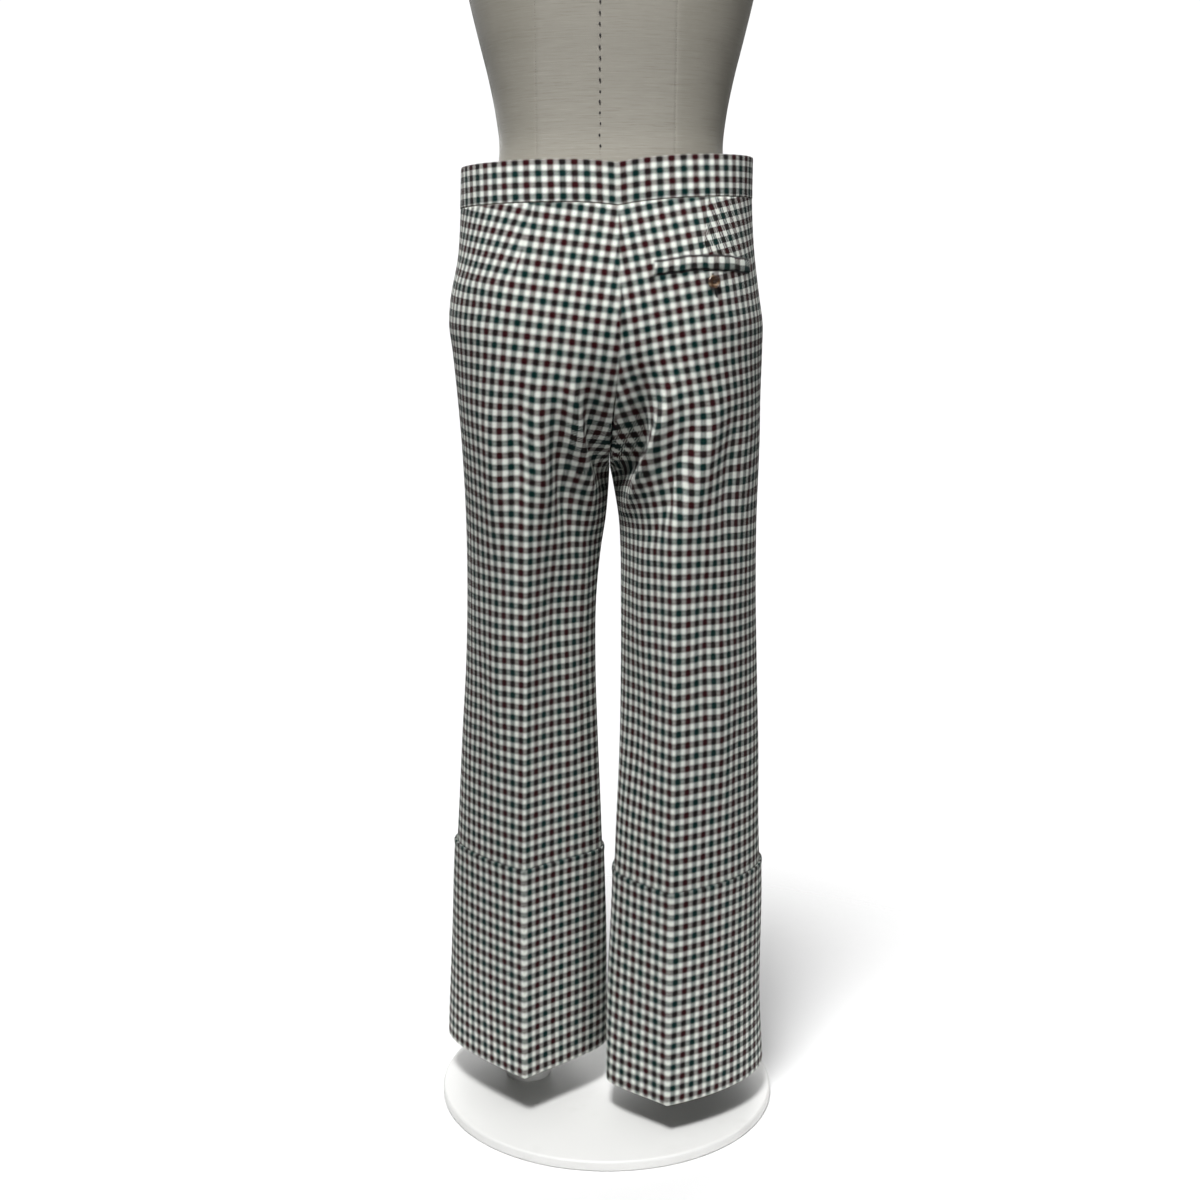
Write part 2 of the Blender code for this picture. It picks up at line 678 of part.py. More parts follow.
def make_button(material, collection):
    """A turned button with a raised rim, flat against the right back below the welt."""
    radius, thick, rim = BUTTON_RADIUS, BUTTON_THICKNESS, BUTTON_RIM
    profile = [(0.0, 0.0), (radius * 0.7, 0.0), (radius, thick * 0.4), (radius, thick * 0.75),
               (radius - rim * 0.5, thick), (radius - rim, thick), (radius - rim * 2, thick * 0.7),
               (0.0, thick * 0.7)]
    mesh = bpy.data.meshes.new("pocket_button")
    mesh.from_pydata([(x, 0.0, z) for x, z in profile], [(i, i + 1) for i in range(len(profile) - 1)], [])
    button = make_object("pocket_button", mesh, material, collection)
    turned = button.modifiers.new("Turned", "SCREW")
    turned.steps = BUTTON_SEGMENTS
    turned.render_steps = BUTTON_SEGMENTS
    turned.use_merge_vertices = True
    turned.merge_threshold = MERGE_DISTANCE
    turned.use_smooth_shade = True
    turned.use_normal_calculate = True
    s = position_at_x("right", "back", BUTTON_Z, BUTTON_X)
    seat = panel_point("right", "back", BUTTON_Z, s, BUTTON_SEAT)
    side_step = panel_point("right", "back", BUTTON_Z, s + BUTTON_STEP_ACROSS, BUTTON_SEAT) - seat
    down_step = panel_point("right", "back", BUTTON_Z - BUTTON_STEP_DOWN, s, BUTTON_SEAT) - seat
    facing = side_step.cross(down_step).normalized()
    if facing.y < 0:
        facing = -facing
    button.matrix_world = Matrix.Translation(seat) @ facing.to_track_quat("Z", "Y").to_matrix().to_4x4()
    return button


def make_form(material, collection):
    """The limbless torso, a smooth loft through its sections with a rounded foot."""
    rows = []
    for ring in reversed(FORM_RINGS):
        row = []
        for i in range(FORM_SEGMENTS):
            angle = 2 * math.pi * i / FORM_SEGMENTS
            across = math.copysign(abs(math.cos(angle)) ** FORM_FULLNESS, math.cos(angle))
            along = math.copysign(abs(math.sin(angle)) ** FORM_FULLNESS, math.sin(angle))
            depth = ring.back if along >= 0 else -ring.front
            row.append(Vector((ring.centre_x + ring.half_width * across, depth * along, HEM_HEIGHT + ring.z)))
        rows.append(row[::-1])
    mesh = grid_mesh("form_torso", rows, closed=True)
    shape = bmesh.new()
    shape.from_mesh(mesh)
    bmesh.ops.holes_fill(shape, edges=shape.edges[:], sides=FORM_SEGMENTS)
    bmesh.ops.recalc_face_normals(shape, faces=shape.faces[:])
    shape.to_mesh(mesh)
    shape.free()
    return make_object("form_torso", mesh, material, collection)


def make_disc(name, radius, height, place, bevel, material, collection):
    """A round plate or rod standing on a place, with eased edges."""
    mesh = bpy.data.meshes.new(name)
    shape = bmesh.new()
    bmesh.ops.create_cone(shape, cap_ends=True, segments=DISC_SEGMENTS, radius1=radius, radius2=radius,
                          depth=height)
    for face in shape.faces:
        face.smooth = len(face.verts) == 4
    shape.to_mesh(mesh)
    shape.free()
    disc = make_object(name, mesh, material, collection)
    disc.location = (place[0], place[1], place[2] + height / 2)
    if bevel:
        soft = disc.modifiers.new("Edge", "BEVEL")
        soft.width = bevel
        soft.segments = 2
        soft.limit_method = "ANGLE"
    return disc


def make_stand(paint, wood, collection):
    """Base plate, collar, pole, the flange under the torso and the neck cap."""
    under_form = HEM_HEIGHT + FORM_BOTTOM
    neck_top = HEM_HEIGHT + FORM_RINGS[-1].z
    neck_x = FORM_RINGS[-1].centre_x
    pole_start = BASE_THICKNESS + SEAM_GAP
    flange_start = under_form - SEAM_GAP - FLANGE_THICKNESS
    make_disc("stand_base", BASE_RADIUS, BASE_THICKNESS, (0, 0, 0), BASE_BEVEL, paint, collection)
    pole_place = (POLE_X, POLE_Y, pole_start)
    flange_place = (POLE_X, POLE_Y, flange_start)
    make_disc("stand_pole", POLE_RADIUS, flange_start - SEAM_GAP - pole_start, pole_place, 0, paint, collection)
    make_disc("stand_flange", FLANGE_RADIUS, FLANGE_THICKNESS, flange_place, FLANGE_BEVEL, paint, collection)
    make_disc("form_neck_cap", NECK_CAP_RADIUS, NECK_CAP_HEIGHT, (neck_x, NECK_CAP_Y, neck_top + SEAM_GAP),
              NECK_CAP_BEVEL, wood, collection)
    make_collar(pole_start, paint, collection)


def make_collar(start, material, collection):
    """The turned collar round the foot of the pole."""
    inner, outer = POLE_RADIUS + SEAM_GAP, COLLAR_RADIUS
    profile = [(inner, 0.0), (outer, 0.0), (outer, COLLAR_HEIGHT * COLLAR_STRAIGHT),
               (outer - COLLAR_SHOULDER_INSET, COLLAR_HEIGHT * COLLAR_SHOULDER),
               (inner + COLLAR_NECK, COLLAR_HEIGHT), (inner, COLLAR_HEIGHT), (inner, 0.0)]
    mesh = bpy.data.meshes.new("stand_collar")
    mesh.from_pydata([(x, 0.0, z) for x, z in profile], [(i, i + 1) for i in range(len(profile) - 1)], [])
    collar = make_object("stand_collar", mesh, material, collection)
    turned = collar.modifiers.new("Turned", "SCREW")
    turned.steps = DISC_SEGMENTS
    turned.render_steps = DISC_SEGMENTS
    turned.use_merge_vertices = True
    turned.merge_threshold = MERGE_DISTANCE
    turned.use_smooth_shade = True
    turned.use_normal_calculate = True
    joined = collar.modifiers.new("Joined", "WELD")
    joined.merge_threshold = MERGE_DISTANCE
    collar.location = (POLE_X, POLE_Y, start)
    return collar


def make_material(name, colour, roughness, metallic=0.0):
    """A plain finish."""
    material = bpy.data.materials.new(name)
    material.use_nodes = True
    finish = material.node_tree.nodes["Principled BSDF"]
    finish.inputs["Base Color"].default_value = (*colour, 1.0)
    finish.inputs["Roughness"].default_value = roughness
    finish.inputs["Metallic"].default_value = metallic
    return material


def main():
    """Build the trousers on their form."""
    for thing in list(bpy.data.objects):
        bpy.data.objects.remove(thing, do_unlink=True)
    collection = bpy.data.collections.new("wide_leg_trousers")
    bpy.context.scene.collection.children.link(collection)
    cloth = make_material("check_wool", (0.42, 0.40, 0.36), 0.85)
    horn = make_material("horn", (0.16, 0.09, 0.05), 0.35)
    linen = make_material("linen", (0.45, 0.41, 0.36), 0.8)
    paint = make_material("white_paint", (0.82, 0.82, 0.80), 0.4)
    wood = make_material("pale_wood", (0.55, 0.40, 0.25), 0.5)
    for side in ("left", "right"):
        for face in ("back", "front"):
            make_panel(side, face, cloth, collection)
        make_band(side, cloth, collection)
        make_turn_up(side, cloth, collection)
    make_welt(cloth, collection)
    make_fly(cloth, collection)
    make_button(horn, collection)
    make_form(linen, collection)
    make_stand(paint, wood, collection)


main()
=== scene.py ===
"""Looks of the wide-leg check trousers with deep turn-ups, worn by a limbless dress form on a stand.

Metres, +Z up. The front faces -Y and the wearer's left is +X. Heights in the tables are above the left hem.
"""

import logging
import math
from dataclasses import dataclass, field
from enum import Enum
from typing import NamedTuple, Sequence

import bmesh
import bpy
import numpy as np
from mathutils import Matrix, Vector


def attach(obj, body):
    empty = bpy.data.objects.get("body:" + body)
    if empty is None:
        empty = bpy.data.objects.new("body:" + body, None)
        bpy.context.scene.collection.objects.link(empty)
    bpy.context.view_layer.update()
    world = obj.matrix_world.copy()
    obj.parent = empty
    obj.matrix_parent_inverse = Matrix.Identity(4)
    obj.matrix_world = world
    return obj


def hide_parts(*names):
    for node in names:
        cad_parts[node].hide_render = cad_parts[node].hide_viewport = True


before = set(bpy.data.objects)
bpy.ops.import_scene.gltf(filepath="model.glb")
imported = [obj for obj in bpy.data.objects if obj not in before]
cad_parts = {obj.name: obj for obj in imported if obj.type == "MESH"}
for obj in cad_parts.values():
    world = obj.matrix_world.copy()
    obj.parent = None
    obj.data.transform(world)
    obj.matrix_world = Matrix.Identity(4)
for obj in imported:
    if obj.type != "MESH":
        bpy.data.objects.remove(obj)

LOG = logging.getLogger("trousers")
BODY = "root"
CUT_MAP = "cut"

HEM_HEIGHT = 0.06
RIGHT_LEG_DROP = 0.012
DROP_LENGTH = 0.4
BAND_TOP = 1.02
BAND_SEAM = 0.977
CROTCH = 0.69
TURN_UP_TOP = 0.248
SEAM_GAP = 0.0003
CLOTH_WALL = 0.0016
EDGE_STEPS = (0.0, 0.008, 0.017, 0.028, 0.042)
TURN_UP_STAND = CLOTH_WALL + SEAM_GAP
HEM_TUCK = 0.0014
WAIST_TILT = 0.034
BACK_DIP = 0.03
NOTCH_DIP = 0.007
NOTCH_WIDTH = 0.035
LIFT_START = 0.8
CROTCH_BLEND = 0.028
TANGENT_STEP = 0.01


class Side(Enum):
    """The wearer's side that a piece is on."""

    LEFT = "left"
    RIGHT = "right"

    @property
    def sign(self) -> float:
        """+1 on the wearer's left and -1 on the right."""
        return 1.0 if self is Side.LEFT else -1.0


class Face(Enum):
    """Whether a piece is on the back or the front."""

    BACK = "back"
    FRONT = "front"

    @property
    def sign(self) -> float:
        """+1 on the back and -1 on the front."""
        return 1.0 if self is Face.BACK else -1.0


class Slot(Enum):
    """Names of the material slots."""

    CLOTH = "cloth"
    BUTTON = "button"
    COVER = "form_cover"
    CAP = "cap"
    STAND = "stand"


class Line(NamedTuple):
    """A point of a seam line at one height."""

    z: float
    x: float
    y: float


class Crease(NamedTuple):
    """A point of a crease line at one height, and how the cloth leaves it."""

    z: float
    x: float
    y: float
    in_slope: float
    out_slope: float
    in_round: float
    out_round: float


class Ring(NamedTuple):
    """One section of the dress form."""

    z: float
    half_width: float
    front: float
    back: float
    centre_x: float


class Fold(NamedTuple):
    """A soft ridge (positive rise) or trough on a curved path over a panel."""

    x_top: float
    z_top: float
    x_mid: float
    z_mid: float
    x_low: float
    z_low: float
    rise: float
    width: float


def table(kind: type, *rows: tuple) -> list:
    """Rows of one kind from plain tuples in the order of its fields."""
    return [kind(*row) for row in rows]


CENTRE_BACK = table(Line,
    (1.02, -0.0095, 0.0985), (0.977, -0.011, 0.103), (0.93, -0.0125, 0.1125), (0.885, -0.013, 0.1205),
    (0.85, -0.0135, 0.1225), (0.82, -0.013, 0.1195), (0.79, -0.0105, 0.111), (0.76, -0.007, 0.096),
    (0.73, -0.0045, 0.072), (0.71, -0.0035, 0.047), (0.697, -0.003, 0.02), (0.69, -0.003, -0.003),
)
CENTRE_FRONT = table(Line,
    (1.02, -0.006, -0.104), (0.977, -0.006, -0.108), (0.9, -0.0055, -0.112), (0.85, -0.005, -0.1115),
    (0.8, -0.0045, -0.103), (0.76, -0.004, -0.086), (0.73, -0.0035, -0.064), (0.71, -0.003, -0.043),
    (0.697, -0.003, -0.022), (0.69, -0.003, -0.003),
)
INSEAM = {
    Side.LEFT: table(Line,
        (0.69, -0.003, -0.003), (0.665, -0.0015, -0.003), (0.634, 0.0012, -0.003), (0.6, 0.0065, -0.002),
        (0.551, 0.0115, 0.0), (0.467, 0.013, 0.004), (0.381, 0.0105, 0.008), (0.294, 0.007, 0.011),
        (0.235, 0.005, 0.011), (0.084, 0.0025, 0.004), (0.0, 0.0022, 0.0),
    ),
    Side.RIGHT: table(Line,
        (0.69, -0.003, -0.003), (0.665, -0.008, -0.002), (0.634, -0.013, 0.002), (0.6, -0.015, 0.008),
        (0.551, -0.0155, 0.017), (0.467, -0.0155, 0.03), (0.381, -0.014, 0.042), (0.294, -0.01, 0.053),
        (0.235, -0.008, 0.059), (0.084, -0.0025, 0.07), (0.0, -0.0015, 0.074),
    ),
}
SIDE_SEAM = {
    Side.LEFT: table(Line,
        (1.02, 0.159, 0.0), (0.977, 0.1605, 0.0), (0.926, 0.164, 0.0), (0.874, 0.1735, 0.0),
        (0.848, 0.175, 0.0), (0.822, 0.172, 0.0), (0.769, 0.167, 0.0), (0.715, 0.163, 0.0),
        (0.634, 0.16, -0.002), (0.551, 0.16, -0.005), (0.467, 0.163, -0.009), (0.381, 0.169, -0.013),
        (0.294, 0.1745, -0.017), (0.235, 0.1785, -0.019), (0.084, 0.1865, -0.024), (0.0, 0.1905, -0.026),
    ),
    Side.RIGHT: table(Line,
        (1.02, -0.158, 0.0), (0.977, -0.158, 0.0), (0.926, -0.161, 0.0), (0.874, -0.168, 0.0),
        (0.848, -0.172, 0.0), (0.822, -0.172, 0.0), (0.769, -0.171, 0.0), (0.715, -0.171, 0.001),
        (0.634, -0.169, 0.003), (0.551, -0.1695, 0.006), (0.467, -0.172, 0.009), (0.381, -0.175, 0.012),
        (0.294, -0.1765, 0.014), (0.235, -0.1785, 0.015), (0.084, -0.1795, 0.016), (0.0, -0.1835, 0.016),
    ),
}
CREASE = {
    (Side.LEFT, Face.BACK): table(Crease,
        (1.02, 0.075, 0.093, -6, 10, 0.55, 0.55), (0.977, 0.078, 0.0995, -4, 8, 0.55, 0.55),
        (0.926, 0.08, 0.11, -2, 4, 0.55, 0.55), (0.874, 0.082, 0.117, 0, 0, 0.55, 0.55),
        (0.848, 0.083, 0.1185, 0, 0, 0.55, 0.55), (0.8, 0.084, 0.1185, 2, 0, 0.55, 0.55),
        (0.75, 0.085, 0.116, 6, 2, 0.5, 0.55), (0.7, 0.086, 0.113, 14, 6, 0.4, 0.5),
        (0.634, 0.086, 0.108, 34, 16, 0.3, 0.45), (0.551, 0.088, 0.104, 48, 26, 0.22, 0.42),
        (0.467, 0.089, 0.102, 50, 30, 0.2, 0.38), (0.294, 0.092, 0.1, 46, 36, 0.18, 0.32),
        (0.0, 0.094, 0.1, 43, 40, 0.16, 0.26),
    ),
    (Side.RIGHT, Face.BACK): table(Crease,
        (1.02, -0.078, 0.093, -6, 10, 0.55, 0.55), (0.977, -0.08, 0.0995, -4, 8, 0.55, 0.55),
        (0.926, -0.08, 0.11, -2, 4, 0.55, 0.55), (0.874, -0.078, 0.1175, 0, 0, 0.55, 0.55),
        (0.848, -0.076, 0.119, 0, 0, 0.55, 0.55), (0.8, -0.073, 0.1195, 2, 0, 0.55, 0.55),
        (0.75, -0.07, 0.119, 6, 2, 0.5, 0.55), (0.7, -0.069, 0.12, 14, 5, 0.4, 0.5),
        (0.634, -0.069, 0.122, 34, 12, 0.3, 0.45), (0.551, -0.07, 0.127, 48, 20, 0.22, 0.42),
        (0.467, -0.071, 0.133, 50, 23, 0.2, 0.42), (0.294, -0.07, 0.14, 45, 25, 0.18, 0.42),
        (0.0, -0.067, 0.14, 40, 23, 0.16, 0.44),
    ),
    (Side.LEFT, Face.FRONT): table(Crease,
        (1.02, 0.078, -0.094, -8, 12, 0.55, 0.55), (0.977, 0.08, -0.098, -6, 10, 0.55, 0.55),
        (0.9, 0.083, -0.104, -4, 6, 0.55, 0.55), (0.85, 0.084, -0.1065, -1, 3, 0.55, 0.55),
        (0.8, 0.084, -0.108, 4, 8, 0.5, 0.5), (0.74, 0.085, -0.108, 16, 16, 0.4, 0.45),
        (0.634, 0.086, -0.107, 36, 28, 0.28, 0.38), (0.467, 0.09, -0.107, 44, 36, 0.2, 0.32),
        (0.294, 0.094, -0.11, 44, 38, 0.18, 0.28), (0.0, 0.098, -0.113, 44, 38, 0.16, 0.24),
    ),
    (Side.RIGHT, Face.FRONT): table(Crease,
        (1.02, -0.084, -0.094, -8, 12, 0.55, 0.55), (0.977, -0.086, -0.098, -6, 10, 0.55, 0.55),
        (0.9, -0.089, -0.104, -4, 6, 0.55, 0.55), (0.85, -0.091, -0.1065, -1, 3, 0.55, 0.55),
        (0.8, -0.093, -0.108, 4, 8, 0.5, 0.5), (0.74, -0.096, -0.107, 16, 16, 0.4, 0.45),
        (0.634, -0.1, -0.103, 36, 28, 0.28, 0.38), (0.467, -0.106, -0.096, 44, 36, 0.2, 0.32),
        (0.294, -0.11, -0.088, 44, 38, 0.18, 0.28), (0.0, -0.114, -0.082, 44, 38, 0.16, 0.24),
    ),
}
FOLDS = {
    (Side.LEFT, Face.BACK): table(Fold,
        (0.039, 0.8, 0.029, 0.735, 0.017, 0.63, 0.0115, 0.009),
        (0.02, 0.795, 0.014, 0.736, 0.004, 0.675, -0.017, 0.011),
        (0.056, 0.78, 0.048, 0.705, 0.038, 0.6, -0.011, 0.012),
        (0.074, 0.805, 0.073, 0.73, 0.068, 0.64, 0.0065, 0.012),
        (0.101, 0.795, 0.095, 0.73, 0.098, 0.635, -0.006, 0.012),
        (0.128, 0.77, 0.12, 0.69, 0.125, 0.59, 0.005, 0.013),
        (0.064, 0.64, 0.058, 0.56, 0.06, 0.47, -0.0024, 0.01),
        (0.03, 0.64, 0.026, 0.57, 0.028, 0.48, 0.0028, 0.009),
        (0.118, 0.56, 0.122, 0.48, 0.117, 0.38, 0.0022, 0.012),
        (0.14, 0.5, 0.143, 0.42, 0.139, 0.32, -0.0018, 0.01),
        (0.045, 0.52, 0.04, 0.43, 0.043, 0.33, 0.002, 0.01),
        (0.152, 0.88, 0.132, 0.866, 0.108, 0.858, -0.0014, 0.011),
        (0.034, 0.7, 0.06, 0.672, 0.095, 0.664, 0.001, 0.011),
    ),
    (Side.RIGHT, Face.BACK): table(Fold,
        (-0.069, 0.792, -0.053, 0.732, -0.022, 0.645, 0.015, 0.008),
        (-0.04, 0.808, -0.027, 0.738, -0.01, 0.675, -0.026, 0.014),
        (-0.092, 0.755, -0.072, 0.69, -0.046, 0.62, -0.01, 0.012),
        (-0.118, 0.785, -0.104, 0.715, -0.086, 0.63, 0.006, 0.013),
        (-0.142, 0.77, -0.132, 0.7, -0.132, 0.6, -0.0048, 0.012),
        (-0.044, 0.64, -0.038, 0.56, -0.042, 0.47, 0.0026, 0.01),
        (-0.1, 0.6, -0.106, 0.52, -0.101, 0.42, -0.0024, 0.012),
        (-0.128, 0.52, -0.124, 0.44, -0.128, 0.34, 0.0021, 0.011),
        (-0.15, 0.47, -0.146, 0.39, -0.15, 0.3, -0.0016, 0.01),
        (-0.036, 0.5, -0.032, 0.42, -0.035, 0.33, -0.002, 0.01),
        (-0.03, 0.655, -0.06, 0.64, -0.09, 0.646, 0.001, 0.011),
        (-0.15, 0.862, -0.132, 0.846, -0.112, 0.842, 0.0012, 0.011),
    ),
    (Side.LEFT, Face.FRONT): table(Fold,
        (0.045, 0.745, 0.072, 0.758, 0.1, 0.775, 0.0052, 0.013),
        (0.03, 0.715, 0.058, 0.722, 0.09, 0.735, -0.0054, 0.012),
        (0.028, 0.69, 0.052, 0.682, 0.08, 0.688, 0.0036, 0.011),
        (0.06, 0.64, 0.055, 0.56, 0.058, 0.46, -0.0028, 0.012),
        (0.122, 0.64, 0.126, 0.54, 0.121, 0.42, 0.0028, 0.013),
        (0.05, 0.47, 0.046, 0.4, 0.049, 0.31, 0.0021, 0.011),
        (0.14, 0.46, 0.143, 0.38, 0.139, 0.3, -0.002, 0.011),
    ),
    (Side.RIGHT, Face.FRONT): table(Fold,
        (-0.045, 0.75, -0.075, 0.766, -0.105, 0.785, 0.005, 0.013),
        (-0.035, 0.72, -0.063, 0.73, -0.095, 0.745, -0.0056, 0.012),
        (-0.03, 0.692, -0.055, 0.684, -0.085, 0.692, 0.0032, 0.011),
        (-0.064, 0.63, -0.068, 0.55, -0.066, 0.45, 0.0026, 0.012),
        (-0.13, 0.61, -0.134, 0.52, -0.13, 0.4, -0.0027, 0.013),
        (-0.062, 0.45, -0.058, 0.38, -0.061, 0.3, -0.0022, 0.011),
        (-0.148, 0.44, -0.144, 0.36, -0.148, 0.29, 0.0019, 0.011),
    ),
}
FORM_RINGS = table(Ring,
    (0.76, 0.115, -0.056, 0.06, 0.0015), (0.764, 0.132, -0.07, 0.076, 0.0015),
    (0.778, 0.15, -0.086, 0.094, 0.0015), (0.8, 0.162, -0.098, 0.108, 0.0012),
    (0.825, 0.1685, -0.1055, 0.115, 0.0008), (0.85, 0.1706, -0.107, 0.1165, 0.0014),
    (0.88, 0.166, -0.106, 0.113, 0.001), (0.92, 0.154, -0.101, 0.102, 0.0),
    (0.965, 0.137, -0.093, 0.089, -0.002), (1.005, 0.125, -0.0865, 0.081, -0.0035),
    (1.032, 0.1215, -0.085, 0.079, -0.004), (1.07, 0.125, -0.089, 0.081, -0.004),
    (1.108, 0.1325, -0.096, 0.086, -0.004), (1.15, 0.143, -0.106, 0.093, -0.004),
    (1.19, 0.1525, -0.116, 0.099, -0.004), (1.24, 0.162, -0.119, 0.103, -0.004),
    (1.3, 0.169, -0.108, 0.103, -0.004), (1.35, 0.175, -0.09, 0.097, -0.004),
    (1.39, 0.176, -0.072, 0.085, -0.004), (1.415, 0.162, -0.06, 0.072, -0.004),
    (1.435, 0.125, -0.053, 0.063, -0.004), (1.45, 0.085, -0.05, 0.057, -0.004),
    (1.465, 0.063, -0.049, 0.054, -0.004), (1.495, 0.056, -0.048, 0.052, -0.004),
    (1.525, 0.0545, -0.0475, 0.0515, -0.004),
)


def ease(t: np.ndarray) -> np.ndarray:
    """0 to 1 with level ends."""
    t = np.clip(t, 0.0, 1.0)
    return t * t * (3 - 2 * t)


def bezier(points: Sequence[np.ndarray], t: np.ndarray) -> np.ndarray:
    """Points of cubic curves.

    Args:
        points: Four arrays of control points.
        t: The place along each curve.

    Returns:
        One point for each curve.
    """
    a, b, c, d = points
    t = t[:, None]
    s = 1 - t
    return s**3 * a + 3 * s * s * t * b + 3 * s * t * t * c + t**3 * d


class Track:
    """A smooth curve through the rows of a table, read at any heights."""

    def __init__(self, rows: Sequence[tuple]) -> None:
        """Keep the rows in rising order with their slopes."""
        columns = np.array(sorted(rows), dtype=float)
        self.heights = columns[:, 0]
        self.values = columns[:, 1:]
        self.slopes = np.gradient(self.values, self.heights, axis=0)

    def at(self, z: np.ndarray) -> np.ndarray:
        """All the columns after the height.

        Args:
            z: Heights to read.

        Returns:
            One row of values for each height.
        """
        z = np.clip(z, self.heights[0], self.heights[-1])
        index = np.clip(np.searchsorted(self.heights, z, side="right") - 1, 0, len(self.heights) - 2)
        span = (self.heights[index + 1] - self.heights[index])[:, None]
        t = (z - self.heights[index])[:, None] / span
        low, high = self.values[index], self.values[index + 1]
        low_slope, high_slope = self.slopes[index] * span, self.slopes[index + 1] * span
        return (
            (2 * t**3 - 3 * t**2 + 1) * low
            + (t**3 - 2 * t**2 + t) * low_slope
            + (3 * t**2 - 2 * t**3) * high
            + (t**3 - t**2) * high_slope
        )


